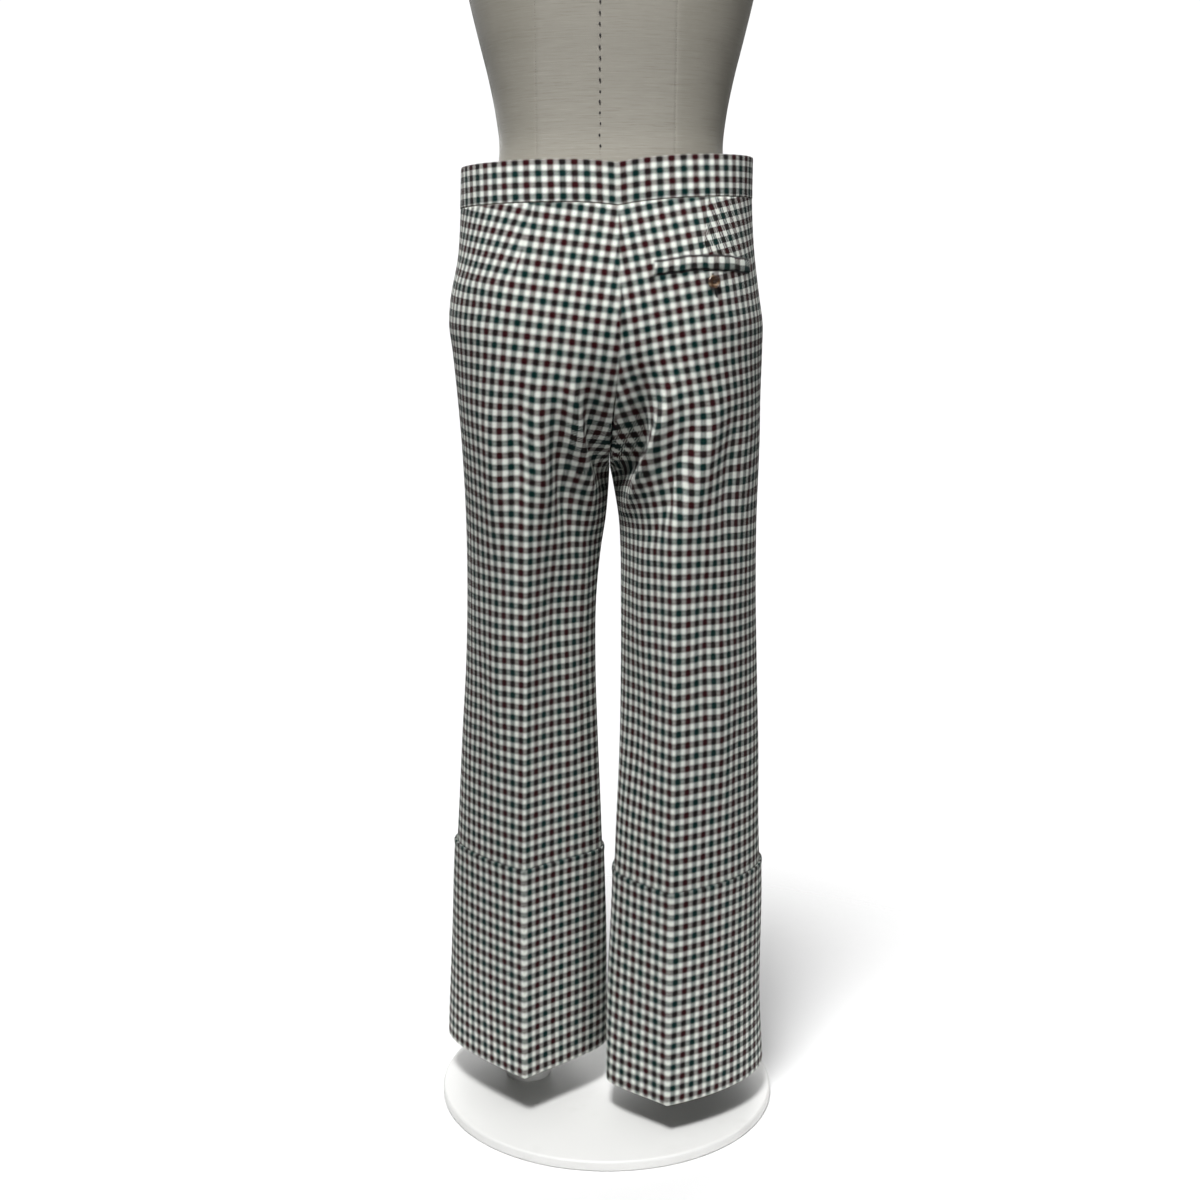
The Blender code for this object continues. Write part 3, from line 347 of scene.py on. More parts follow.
class TrouserShape:
    """The worn shape of the trousers, read at any height and place across a panel.

    The place s runs from 0 at the inner edge to 1 at the pressed crease and 2 at the side seam.
    """

    valley_depth = 0.02
    handle_share = 0.4
    fold_steps = 20
    fold_crispness = 1.6
    fold_start, fold_start_fade = 0.1, 0.65
    fold_end, fold_end_fade = 1.15, 0.55
    steps_before, steps_past = 3.0, 4.0
    far_away = 1e9
    crease_share = 0.5
    valley_share = 0.25
    level_blend = 0.01
    inner_fade = 0.25
    side_fade = 0.3

    def __init__(self) -> None:
        """Make the tracks of every seam and crease."""
        self.centres = {Face.BACK: Track(CENTRE_BACK), Face.FRONT: Track(CENTRE_FRONT)}
        self.crotch_depth = {Face.BACK: CENTRE_BACK[-1].y, Face.FRONT: -CENTRE_FRONT[-1].y}
        self.inseams = {side: Track(rows) for side, rows in INSEAM.items()}
        self.sides = {side: Track(rows) for side, rows in SIDE_SEAM.items()}
        self.creases = {key: Track(rows) for key, rows in CREASE.items()}

    def edge(self, side: Side, face: Face, z: np.ndarray) -> np.ndarray:
        """The inner edge: the centre seam above the crotch, and the inseam below it."""
        return np.where((z >= CROTCH)[:, None], self.centres[face].at(z), self.inseams[side].at(z))

    def curves(self, side: Side, face: Face, z: np.ndarray) -> tuple:
        """The two curves of a panel at each height.

        Args:
            side: The wearer's side.
            face: Back or front.
            z: Heights.

        Returns:
            Control points from the inner edge to the crease, and from the crease to the side seam.
        """
        inner = self.edge(side, face, z)
        outer = self.sides[side].at(z)
        x, y, in_slope, out_slope, in_round, out_round = self.creases[side, face].at(z).T
        crease = np.stack((x, y), axis=1)
        out = face.sign
        in_run = inner[:, 0] - x
        in_depth = out * (y - inner[:, 1])
        valley = ease(in_depth / self.valley_depth)
        low = out * inner[:, 1] + self.valley_share * in_depth
        high = out * y - (1 - in_round) * (out * y - self.crotch_depth[face])
        level = (low + high + np.hypot(low - high, self.level_blend)) / 2
        aside = -self.handle_share * in_run * (1 - valley)
        in_handle = inner + np.stack((aside, out * (level - out * inner[:, 1]) * valley), axis=1)
        in_fall = -out * abs(in_run) * np.tan(np.radians(in_slope))
        in_crease = crease + self.crease_share * np.stack((in_run, in_fall), axis=1)
        out_run = outer[:, 0] - x
        out_fall = -out * abs(out_run) * np.tan(np.radians(out_slope))
        out_crease = crease + self.crease_share * np.stack((out_run, out_fall), axis=1)
        out_handle = outer + np.stack((np.zeros_like(y), out_round * (y - outer[:, 1])), axis=1)
        return (inner, in_handle, in_crease, crease), (crease, out_crease, out_handle, outer)

    @staticmethod
    def sample(curves: tuple, s: np.ndarray) -> np.ndarray:
        """Points of the joined curves, kept inside their ends."""
        s = np.clip(s, 0.0, 2.0)
        return np.where((s <= 1)[:, None], bezier(curves[0], s), bezier(curves[1], s - 1))

    def flat_point(self, side: Side, face: Face, z: np.ndarray, s: np.ndarray) -> tuple:
        """Level points of a panel and their outward directions.

        Args:
            side: The wearer's side.
            face: Back or front.
            z: Heights.
            s: Places across the panel.

        Returns:
            Points (x, y) and unit directions (x, y).
        """
        reach = CROTCH_BLEND * ease(1.5 - abs(z - CROTCH) / CROTCH_BLEND) * ease(s / 0.35)
        before = point = after = 0.0
        for k in (-2, -1, 0, 1, 2):
            curves = self.curves(side, face, z + reach * k / 2)
            before = before + self.sample(curves, s - TANGENT_STEP) / 5
            point = point + self.sample(curves, s) / 5
            after = after + self.sample(curves, s + TANGENT_STEP) / 5
        ahead = after - before
        ahead /= np.linalg.norm(ahead, axis=1)[:, None]
        return point, np.stack((-ahead[:, 1], ahead[:, 0]), axis=1) * side.sign * face.sign

    def fold_rise(self, side: Side, face: Face, x: np.ndarray, z: np.ndarray, s: np.ndarray) -> np.ndarray:
        """How far the folds move points of a panel outward, fading out at the panel's edges."""
        rise = np.zeros_like(x)
        place = np.stack((x, z), axis=1)
        for fold in FOLDS[side, face]:
            ends = np.array([(fold.x_top, fold.z_top), (fold.x_mid, fold.z_mid), (fold.x_low, fold.z_low)])
            t = np.linspace(0, 1, self.fold_steps + 1)[:, None]
            middle = 2 * ends[1] - (ends[0] + ends[2]) / 2
            path = (1 - t) ** 2 * ends[0] + 2 * t * (1 - t) * middle + t**2 * ends[2]
            near = np.full(len(x), self.far_away)
            along = np.zeros(len(x))
            for i, (start, stop) in enumerate(zip(path, path[1:])):
                run = stop - start
                part = (place - start) @ run / (run @ run)
                least = -self.steps_before if i == 0 else 0.0
                part = np.clip(part, least, self.steps_past if i == self.fold_steps - 1 else 1.0)
                away = np.linalg.norm(place - start - np.clip(part, 0, 1)[:, None] * run, axis=1)
                closer = away < near
                near = np.where(closer, away, near)
                along = np.where(closer, (i + part) / self.fold_steps, along)
            fade = ease((along + self.fold_start) / self.fold_start_fade)
            fade = fade * ease((self.fold_end - along) / self.fold_end_fade)
            rise += fold.rise * fade * np.exp(-((near / fold.width) ** self.fold_crispness))
        return rise * ease(s / self.inner_fade) * ease((2 - s) / self.side_fade)

    def height(self, side: Side, x: np.ndarray, y: np.ndarray, z: np.ndarray) -> np.ndarray:
        """The height above the floor, with the tilt and dip of the waist and the lower right leg."""
        near_waist = ease((z - LIFT_START) / (BAND_SEAM - LIFT_START))
        seam_x = self.centres[Face.BACK].at(np.maximum(z, CROTCH))[:, 0]
        notch = NOTCH_DIP * np.exp(-abs(x - seam_x) / NOTCH_WIDTH) * ease(y / 0.05)
        lift = near_waist * (-WAIST_TILT * x - BACK_DIP * np.maximum(y, 0.0) - notch)
        drop = RIGHT_LEG_DROP * ease((CROTCH - z) / DROP_LENGTH) if side is Side.RIGHT else 0.0
        return HEM_HEIGHT + z + lift - drop

    def point(self, side: Side, face: Face, z: np.ndarray, s: np.ndarray, out: np.ndarray | float = 0.0,
              folded: float = 1.0) -> np.ndarray:
        """Points of a panel in space.

        Args:
            side: The wearer's side.
            face: Back or front.
            z: Heights.
            s: Places across the panel.
            out: How far each point moves outward.
            folded: The share of the folds that is in it.

        Returns:
            Points (x, y, z).
        """
        z, s = np.broadcast_arrays(np.atleast_1d(np.asarray(z, float)), np.atleast_1d(np.asarray(s, float)))
        flat, outward = self.flat_point(side, face, z, s)
        rise = out + folded * self.fold_rise(side, face, flat[:, 0], z, s)
        flat = flat + outward * np.asarray(rise)[:, None]
        return np.column_stack((flat, self.height(side, flat[:, 0], flat[:, 1], z)))

    def place_at_x(self, side: Side, face: Face, z: np.ndarray, x: np.ndarray) -> np.ndarray:
        """Where a panel's section reaches a side-to-side place at each height."""
        z, x = np.broadcast_arrays(np.atleast_1d(np.asarray(z, float)), np.atleast_1d(np.asarray(x, float)))
        low, high = np.zeros_like(x), np.full_like(x, 2.0)
        curves = self.curves(side, face, z)
        for _ in range(30):
            middle = (low + high) / 2
            inside = self.sample(curves, middle)[:, 0] * side.sign < x * side.sign
            low, high = np.where(inside, middle, low), np.where(inside, high, middle)
        return (low + high) / 2


class Bench:
    """A node tree with short calls for the nodes that the finishes use."""

    def __init__(self, name: str) -> None:
        """Start an empty material."""
        self.material = bpy.data.materials.new(name)
        self.material.use_nodes = True
        self.tree = self.material.node_tree
        self.tree.nodes.clear()

    def add(self, kind: str, **settings: object) -> bpy.types.Node:
        """A node of a kind, with its own settings."""
        node = self.tree.nodes.new(kind)
        for name, value in settings.items():
            setattr(node, name, value)
        return node

    def feed(self, socket: bpy.types.NodeSocket, value: object) -> None:
        """Link a socket to another, or set its value."""
        if isinstance(value, bpy.types.NodeSocket):
            self.tree.links.new(value, socket)
        else:
            socket.default_value = value

    def math(self, operation: str, *values: object) -> bpy.types.NodeSocket:
        """A Math node over one to three values."""
        node = self.add("ShaderNodeMath", operation=operation)
        for socket, value in zip(node.inputs, values):
            self.feed(socket, value)
        return node.outputs[0]

    def mix(self, share: object, first: object, second: object) -> bpy.types.NodeSocket:
        """A blend of two colours."""
        node = self.add("ShaderNodeMix", data_type="RGBA")
        for index, value in ((0, share), (6, first), (7, second)):
            self.feed(node.inputs[index], value)
        return node.outputs[2]

    def ramp(self, value: object, low: float, high: float, start: float, stop: float) -> bpy.types.NodeSocket:
        """A value moved from one range to another, and kept inside it."""
        node = self.add("ShaderNodeMapRange", interpolation_type="SMOOTHSTEP")
        for socket, number in zip(node.inputs, (value, low, high, start, stop)):
            self.feed(socket, number)
        return node.outputs[0]

    def noise(self, place: object, scale: float, detail: float = 2.0,
              rough: float = 0.5) -> bpy.types.NodeSocket:
        """A noise value over a place."""
        node = self.add("ShaderNodeTexNoise")
        self.feed(node.inputs["Vector"], place)
        self.feed(node.inputs["Scale"], scale)
        self.feed(node.inputs["Detail"], detail)
        self.feed(node.inputs["Roughness"], rough)
        return node.outputs[0]

    def stretch(self, place: object, x: float, y: float, z: float) -> bpy.types.NodeSocket:
        """A place scaled along each direction."""
        node = self.add("ShaderNodeMapping")
        self.feed(node.inputs["Vector"], place)
        self.feed(node.inputs["Scale"], (x, y, z))
        return node.outputs[0]

    def off_middle(self, steps: object) -> bpy.types.NodeSocket:
        """How far each place is from the middle of its step: 0 there and 1 at the step's ends."""
        off = self.math("ABSOLUTE", self.math("SUBTRACT", self.math("FRACT", steps), 0.5))
        return self.math("MULTIPLY", off, 2)

    def parts(self, place: object) -> tuple[bpy.types.NodeSocket, ...]:
        """The three parts of a place."""
        node = self.add("ShaderNodeSeparateXYZ")
        self.feed(node.inputs[0], place)
        return tuple(node.outputs)

    def wave(self, place: object, pitch: float) -> bpy.types.NodeSocket:
        """A sine of a place, one turn for each pitch."""
        return self.math("SINE", self.math("MULTIPLY", place, 2 * math.pi / pitch))

    def object_place(self) -> bpy.types.NodeSocket:
        """The place on the object, in metres."""
        return self.add("ShaderNodeTexCoord").outputs["Object"]

    def bump(self, height: object, strength: float, distance: float) -> bpy.types.NodeSocket:
        """A surface direction disturbed by a height."""
        node = self.add("ShaderNodeBump")
        self.feed(node.inputs["Strength"], strength)
        self.feed(node.inputs["Distance"], distance)
        self.feed(node.inputs["Height"], height)
        return node.outputs[0]

    def finish(self, colour: object, roughness: object, normal: object = None,
               **fixed: float) -> bpy.types.Material:
        """Close the material with one surface shader.

        Args:
            colour: Base colour.
            roughness: Roughness.
            normal: Surface direction, or None.
            **fixed: Values set on the shader's own sockets, with underscores for spaces.

        Returns:
            The material.
        """
        shader = self.add("ShaderNodeBsdfPrincipled")
        self.feed(shader.inputs["Base Color"], colour)
        self.feed(shader.inputs["Roughness"], roughness)
        if normal is not None:
            self.feed(shader.inputs["Normal"], normal)
        for name, value in fixed.items():
            shader.inputs[name.replace("_", " ")].default_value = value
        output = self.add("ShaderNodeOutputMaterial")
        self.tree.links.new(shader.outputs[0], output.inputs["Surface"])
        return self.material


Colour = tuple[float, float, float, float]


def from_screen(red: int, green: int, blue: int) -> Colour:
    """A linear colour from the 0 to 255 values of a screen."""
    linear = [((c / 255 + 0.055) / 1.055) ** 2.4 if c > 10 else c / 255 / 12.92 for c in (red, green, blue)]
    return (*linear, 1.0)


@dataclass(frozen=True)
class CheckTwill:
    """Woollen twill with a small two-colour check on an ivory ground, laid out on the cut."""

    warp_pitch: float = 0.0116
    weft_pitch: float = 0.0126
    stripe_share: float = 0.54
    stripe_edge: float = 0.04
    rib_pitch: float = 0.0028
    rib_edge: float = 0.14
    thread: float = 0.00048
    ivory: Colour = from_screen(232, 235, 228)
    green: Colour = from_screen(2, 36, 34)
    burgundy: Colour = from_screen(48, 10, 14)
    warp_cover: float = 0.16
    weft_cover: float = 0.2
    drift_scale: float = 260.0
    drift_size: float = 0.0008
    fibre_scale: float = 1500.0
    fibre_height: float = 0.8
    cloud_scale: float = 9.0
    relief: float = 0.35
    depth: float = 0.0002

    def stripes(self, bench: Bench, place: object, pitch: float) -> tuple:
        """Where the coloured stripes lie in one direction.

        Args:
            bench: The material's bench.
            place: The place along the cut, in metres.
            pitch: From one stripe to the next.

        Returns:
            The stripe mask, and 0 or 1 for the colour.
        """
        steps = bench.math("DIVIDE", place, pitch)
        off = bench.off_middle(steps)
        low, high = self.stripe_share - self.stripe_edge / 2, self.stripe_share + self.stripe_edge / 2
        mask = bench.ramp(off, low, high, 1.0, 0.0)
        pair = bench.math("FRACT", bench.math("MULTIPLY", steps, 0.5))
        return mask, bench.math("GREATER_THAN", pair, 0.5)

    def material(self) -> bpy.types.Material:
        """The finish."""
        bench = Bench("check_twill")
        cut = bench.add("ShaderNodeUVMap", uv_map=CUT_MAP).outputs[0]
        parts = bench.parts(cut)
        weave_drift = bench.noise(cut, self.drift_scale, 1.0)
        drift = bench.math("MULTIPLY", bench.math("SUBTRACT", weave_drift, 0.5), self.drift_size)
        across = bench.math("ADD", parts[0], drift)
        along = bench.math("SUBTRACT", parts[1], drift)
        warp_mask, warp_pick = self.stripes(bench, across, self.warp_pitch)
        weft_mask, weft_pick = self.stripes(bench, along, self.weft_pitch)
        warp = bench.mix(warp_mask, self.ivory, bench.mix(warp_pick, self.green, self.burgundy))
        weft = bench.mix(weft_mask, self.ivory, bench.mix(weft_pick, self.burgundy, self.green))
        slant = bench.math("SUBTRACT", along, across)
        rib_off = bench.off_middle(bench.math("DIVIDE", slant, self.rib_pitch))
        cover = bench.math("SUBTRACT", bench.math("MULTIPLY", warp_mask, self.warp_cover),
                           bench.math("MULTIPLY", weft_mask, self.weft_cover))
        rib_off = bench.math("SUBTRACT", rib_off, cover)
        warp_on_top = bench.ramp(rib_off, 0.5 - self.rib_edge / 2, 0.5 + self.rib_edge / 2, 1.0, 0.0)
        woven = bench.mix(warp_on_top, weft, warp)
        fibre = bench.noise(cut, self.fibre_scale, 2.0, 0.6)
        cloud = bench.noise(cut, self.cloud_scale, 3.0, 0.5)
        cloud_tone = bench.ramp(cloud, 0.2, 0.8, 0.96, 1.03)
        tone = bench.math("MULTIPLY", bench.ramp(fibre, 0.25, 0.75, 0.88, 1.08), cloud_tone)
        hsv = bench.add("ShaderNodeHueSaturation")
        bench.feed(hsv.inputs["Value"], tone)
        bench.feed(hsv.inputs["Color"], woven)
        warp_round = bench.math("ABSOLUTE", bench.wave(across, 2 * self.thread))
        weft_round = bench.math("ABSOLUTE", bench.wave(along, 2 * self.thread))
        over = bench.math("MULTIPLY", warp_round, warp_on_top)
        under = bench.math("MULTIPLY", weft_round, bench.math("SUBTRACT", 1.0, warp_on_top))
        fuzz = bench.math("MULTIPLY", fibre, self.fibre_height)
        height = bench.math("ADD", bench.math("ADD", over, under), fuzz)
        roughness = bench.ramp(fibre, 0.2, 0.8, 0.82, 0.95)
        normal = bench.bump(height, self.relief, self.depth)
        return bench.finish(hsv.outputs[0], roughness, normal, Sheen_Weight=0.07, Sheen_Roughness=0.5,
                            Specular_IOR_Level=0.12)


@dataclass(frozen=True)
class Linen:
    """The form's cover: grey-beige linen with fine level slubs, its outer panels a little darker, partly in
    their own tone and partly as painted shade.
    """

    ground: Colour = from_screen(166, 162, 152)
    shade: Colour = from_screen(138, 134, 121)
    light: Colour = from_screen(188, 184, 174)
    thread: float = 0.0009
    mean_radius: float = 0.16
    outer_panel: float = 0.074

    def material(self) -> bpy.types.Material:
        """The finish."""
        bench = Bench("form_linen")
        place = bench.object_place()
        parts = bench.parts(place)
        slub = bench.noise(bench.stretch(place, 34.0, 34.0, 760.0), 1.0, 4.0, 0.7)
        cloud = bench.noise(place, 9.0, 4.0, 0.6)
        colour = bench.mix(bench.ramp(slub, 0.5, 0.78, 0.0, 0.65), self.ground, self.shade)
        colour = bench.mix(bench.ramp(slub, 0.48, 0.24, 0.0, 0.5), colour, self.light)
        colour = bench.mix(bench.ramp(cloud, 0.42, 0.8, 0.0, 0.4), colour, self.shade)
        # Outer panels mixed a little toward the darker colour: partly their own tone, partly painted shade
        # where the form turns away from the front light.
        aside = bench.math("ABSOLUTE", parts[0])
        outer = bench.ramp(aside, self.outer_panel - 0.006, self.outer_panel + 0.006, 0.0, 0.25)
        colour = bench.mix(outer, colour, self.shade)
        turn = bench.math("ARCTAN2", parts[1], parts[0])
        warp = bench.wave(turn, self.thread / self.mean_radius)
        weft = bench.wave(parts[2], self.thread)
        height = bench.math("ADD", bench.math("MULTIPLY", warp, weft), bench.math("MULTIPLY", slub, 3.0))
        return bench.finish(colour, 0.88, bench.bump(height, 0.3, 0.0002), Sheen_Weight=0.45,
                            Sheen_Roughness=0.35, Specular_IOR_Level=0.2)


@dataclass(frozen=True)
class Horn:
    """Polished mottled horn."""

    dark: Colour = from_screen(26, 17, 12)
    brown: Colour = from_screen(82, 55, 36)
    pale: Colour = from_screen(190, 162, 132)

    def material(self) -> bpy.types.Material:
        """The finish."""
        bench = Bench("horn")
        place = bench.object_place()
        cloud = bench.noise(bench.stretch(place, 130.0, 130.0, 260.0), 1.0, 3.0, 0.6)
        streak = bench.noise(bench.stretch(place, 260.0, 260.0, 900.0), 1.0, 2.0, 0.5)
        colour = bench.mix(bench.ramp(cloud, 0.38, 0.56, 0.0, 1.0), self.dark, self.brown)
        colour = bench.mix(bench.ramp(cloud, 0.56, 0.66, 0.0, 0.9), colour, self.pale)
        colour = bench.mix(bench.ramp(streak, 0.45, 0.7, 0.0, 0.5), colour, self.dark)
        return bench.finish(colour, bench.ramp(streak, 0.3, 0.7, 0.2, 0.34), bench.bump(streak, 0.1, 0.0001),
                            Coat_Weight=0.3, Coat_Roughness=0.15)


@dataclass(frozen=True)
class Yarn:
    """Twisted sewing thread of one colour, with painted shade in the grooves of its twist."""

    name: str
    colour: Colour
    twist: float = 0.0006

    def material(self) -> bpy.types.Material:
        """The finish."""
        bench = Bench(self.name)
        place = bench.object_place()
        parts = bench.parts(place)
        run = bench.math("ADD", bench.math("ADD", parts[0], parts[1]), parts[2])
        ply = bench.wave(run, self.twist)
        fibre = bench.noise(place, 2600.0, 2.0)
        groove_shade_and_dark_fibre = tuple(c * 0.55 for c in self.colour[:3]) + (1.0,)
        # Painted shade: the thread is darkened in the grooves of its twist, where the bump sinks. The fibre
        # noise below also darkens it at random.
        colour = bench.mix(bench.ramp(ply, -1.0, 0.2, 0.55, 0.0), self.colour, groove_shade_and_dark_fibre)
        colour = bench.mix(bench.ramp(fibre, 0.5, 0.8, 0.0, 0.3), colour, groove_shade_and_dark_fibre)
        return bench.finish(colour, 0.7, bench.bump(ply, 0.3, 0.0001), Sheen_Weight=0.2)


@dataclass(frozen=True)
class Paint:
    """White powder-coated steel."""

    white: Colour = from_screen(240, 240, 238)
    scuff: Colour = from_screen(214, 213, 209)

    def material(self) -> bpy.types.Material:
        """The finish."""
        bench = Bench("white_paint")
        place = bench.object_place()
        peel = bench.noise(place, 900.0, 2.0)
        cloud = bench.noise(place, 14.0, 4.0, 0.6)
        colour = bench.mix(bench.ramp(cloud, 0.55, 0.8, 0.0, 0.35), self.white, self.scuff)
        return bench.finish(colour, bench.ramp(cloud, 0.3, 0.8, 0.34, 0.5), bench.bump(peel, 0.12, 0.0002))


@dataclass(frozen=True)
class TurnedWood:
    """Pale oiled wood with turned growth rings."""

    pale: Colour = from_screen(203, 170, 124)
    dark: Colour = from_screen(158, 117, 74)

    def material(self) -> bpy.types.Material:
        """The finish."""
        bench = Bench("pale_wood")
        place = bench.object_place()
        grain = bench.noise(bench.stretch(place, 26.0, 260.0, 260.0), 1.0, 3.0, 0.6)
        pore = bench.noise(bench.stretch(place, 120.0, 1900.0, 1900.0), 1.0, 2.0)
        colour = bench.mix(bench.ramp(grain, 0.35, 0.7, 0.0, 0.8), self.pale, self.dark)
        colour = bench.mix(bench.ramp(pore, 0.6, 0.75, 0.0, 0.6), colour, self.dark)
        return bench.finish(colour, bench.ramp(grain, 0.3, 0.7, 0.38, 0.5), bench.bump(pore, 0.2, 0.0002))


class Wardrobe:
    """Every finish, made once."""

    def __init__(self) -> None:
        """Make the materials."""
        self.twill = CheckTwill().material()
        self.linen = Linen().material()
        self.horn = Horn().material()
        self.dark_yarn = Yarn("dark_yarn", from_screen(30, 26, 26)).material()
        self.ivory_yarn = Yarn("ivory_yarn", from_screen(228, 222, 208)).material()
        self.grey_yarn = Yarn("grey_yarn", from_screen(112, 106, 98)).material()
        self.paint = Paint().material()
        self.wood = TurnedWood().material()


def in_scene(name: str, data: bpy.types.ID) -> bpy.types.Object:
    """Put a new object with this data in the scene."""
    thing = bpy.data.objects.new(name, data)
    bpy.context.scene.collection.objects.link(thing)
    return thing


def grid_object(name: str, points: np.ndarray, cut: np.ndarray | None, material: bpy.types.Material,
                round_rows: bool = False, round_columns: bool = False,
                flip: bool = False) -> bpy.types.Object:
    """A surface through rows of points.

    Args:
        name: The piece's name.
        points: Rows by columns by 3.
        cut: The place on the cut for each corner of each face, faces by faces by 4 by 2, or None.
        material: Its finish.
        round_rows: Join the last row to the first.
        round_columns: Join the last column to the first.
        flip: Turn the faces over.

    Returns:
        The object.
    """
    rows, columns = points.shape[:2]
    row = np.arange(rows if round_rows else rows - 1)[:, None]
    column = np.arange(columns if round_columns else columns - 1)[None, :]
    below, beside = (row + 1) % rows, (column + 1) % columns
    ring = ((row, column), (row, beside), (below, beside), (below, column))
    corners = np.stack(np.broadcast_arrays(*(r * columns + c for r, c in ring)), axis=-1).reshape(-1, 4)
    order = [0, 3, 2, 1] if flip else [0, 1, 2, 3]
    mesh = bpy.data.meshes.new(name)
    mesh.from_pydata(points.reshape(-1, 3).tolist(), [], corners[:, order].tolist())
    mesh.polygons.foreach_set("use_smooth", [True] * len(mesh.polygons))
    if cut is not None:
        layer = mesh.uv_layers.new(name=CUT_MAP)
        layer.data.foreach_set("uv", cut.reshape(-1, 4, 2)[:, order].astype(np.float32).ravel())
    mesh.materials.append(material)
    return in_scene(name, mesh)


def corner_cut(upper: np.ndarray, lower: np.ndarray) -> np.ndarray:
    """The cut of each face's corners, from the cut of the points above and below it."""
    return np.stack((upper[:, :-1], upper[:, 1:], lower[:, 1:], lower[:, :-1]), axis=2)


def run_along(line: np.ndarray) -> np.ndarray:
    """The distance along a line at each of its points."""
    return np.concatenate(([0.0], np.cumsum(np.linalg.norm(np.diff(line, axis=0), axis=1))))


def put_on(piece: bpy.types.Object, slot: Slot, *nodes: str) -> None:
    """Fix a piece to the frame, and hide the CAD nodes that it stands for."""
    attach(piece, BODY)
    if nodes:
        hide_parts(*nodes)


def cap_ends(thing: bpy.types.Object, columns: int) -> None:
    """Close both ends of a loft whose rows run round its section.

    Args:
        thing: The loft.
        columns: Points in each row.
    """
    shape = bmesh.new()
    shape.from_mesh(thing.data)
    shape.verts.ensure_lookup_table()
    rows = len(shape.verts) // columns
    for column in (0, columns - 1):
        shape.faces.new([shape.verts[i * columns + column] for i in range(rows)])
    bmesh.ops.recalc_face_normals(shape, faces=shape.faces[:])
    shape.to_mesh(thing.data)
    shape.free()


def give_wall(thing: bpy.types.Object, wall: float) -> None:
    """Give an open surface a wall on its inner side."""
    solid = thing.modifiers.new("Wall", "SOLIDIFY")
    solid.thickness = wall
    solid.offset = -1


OVERSTEP = 1.6


def settle_cut(points: np.ndarray, cut: np.ndarray, pinned: np.ndarray, rounds: int,
               shear: float) -> np.ndarray:
    """Lay a worn surface flat: move its cut until the threads have the lengths they have on the body.

    Args:
        points: Rows by columns by 3, as worn.
        cut: Rows by columns by 2, a first guess.
        pinned: Rows by columns, true where the cut stays.
        rounds: How often to go over the cloth.
        shear: How much the diagonals count.

    Returns:
        The cut, rows by columns by 2.
    """
    flat = cut.copy()
    links = [((0, 1), 1.0), ((1, 0), 1.0), ((1, 1), shear), ((1, -1), shear)]
    spans = []
    for (down, side), weight in links:
        rows_a, rows_b = slice(0, -1 if down else None), slice(1 if down else 0, None)
        first, second = slice(0, -1 if side else None), slice(1 if side else 0, None)
        if side < 0:
            first, second = second, first
        here, there = (rows_a, first), (rows_b, second)
        spans.append((here, there, np.linalg.norm(points[there] - points[here], axis=-1), weight))
    free = ~pinned[..., None]
    for _ in range(rounds):
        move = np.zeros_like(flat)
        count = np.zeros(flat.shape[:2] + (1,))
        for here, there, length, weight in spans:
            gap = flat[there] - flat[here]
            now = np.linalg.norm(gap, axis=-1)
            pull = (weight * 0.5 * (now - length) / np.maximum(now, 1e-9))[..., None] * gap
            move[here] += pull
            move[there] -= pull
            count[here] += weight
            count[there] += weight
        flat += np.where(free, OVERSTEP * move / count, 0.0)
    return flat


@dataclass
class Dart:
    """A waist dart on a back, from the band to its tip."""

    x_top: float
    x_tip: float
    z_tip: float
    intake: float
    column: float
    depth: float = 0.0007

    def share(self, z: np.ndarray) -> np.ndarray:
        """How far up the dart each height is: 0 at its tip and 1 at the band."""
        return (z - self.z_tip) / (BAND_SEAM - self.z_tip)

    def x_at(self, z: np.ndarray) -> np.ndarray:
        """Where the dart's line is at each height."""
        return self.x_tip + (self.x_top - self.x_tip) * self.share(z)


class Tilt(NamedTuple):
    """How far the check turns: the rows' slope, where it starts and is full, and the columns' lean."""

    slope: float
    start: float
    full: float
    lean: float


DARTS = {
    (Side.LEFT, Face.BACK): Dart(0.0768, 0.096, 0.895, 0.016, 1.07),
    (Side.RIGHT, Face.BACK): Dart(-0.1052, -0.0975, 0.91, 0.016, 1.27),
}
LEVEL = Tilt(0.0, 0.6, 0.8, 0.0)
TILTS = {
    (Side.LEFT, Face.BACK): Tilt(0.07, 0.53, 0.68, -0.07),
    (Side.RIGHT, Face.BACK): Tilt(0.17, 0.6, 0.74, 0.14),
}


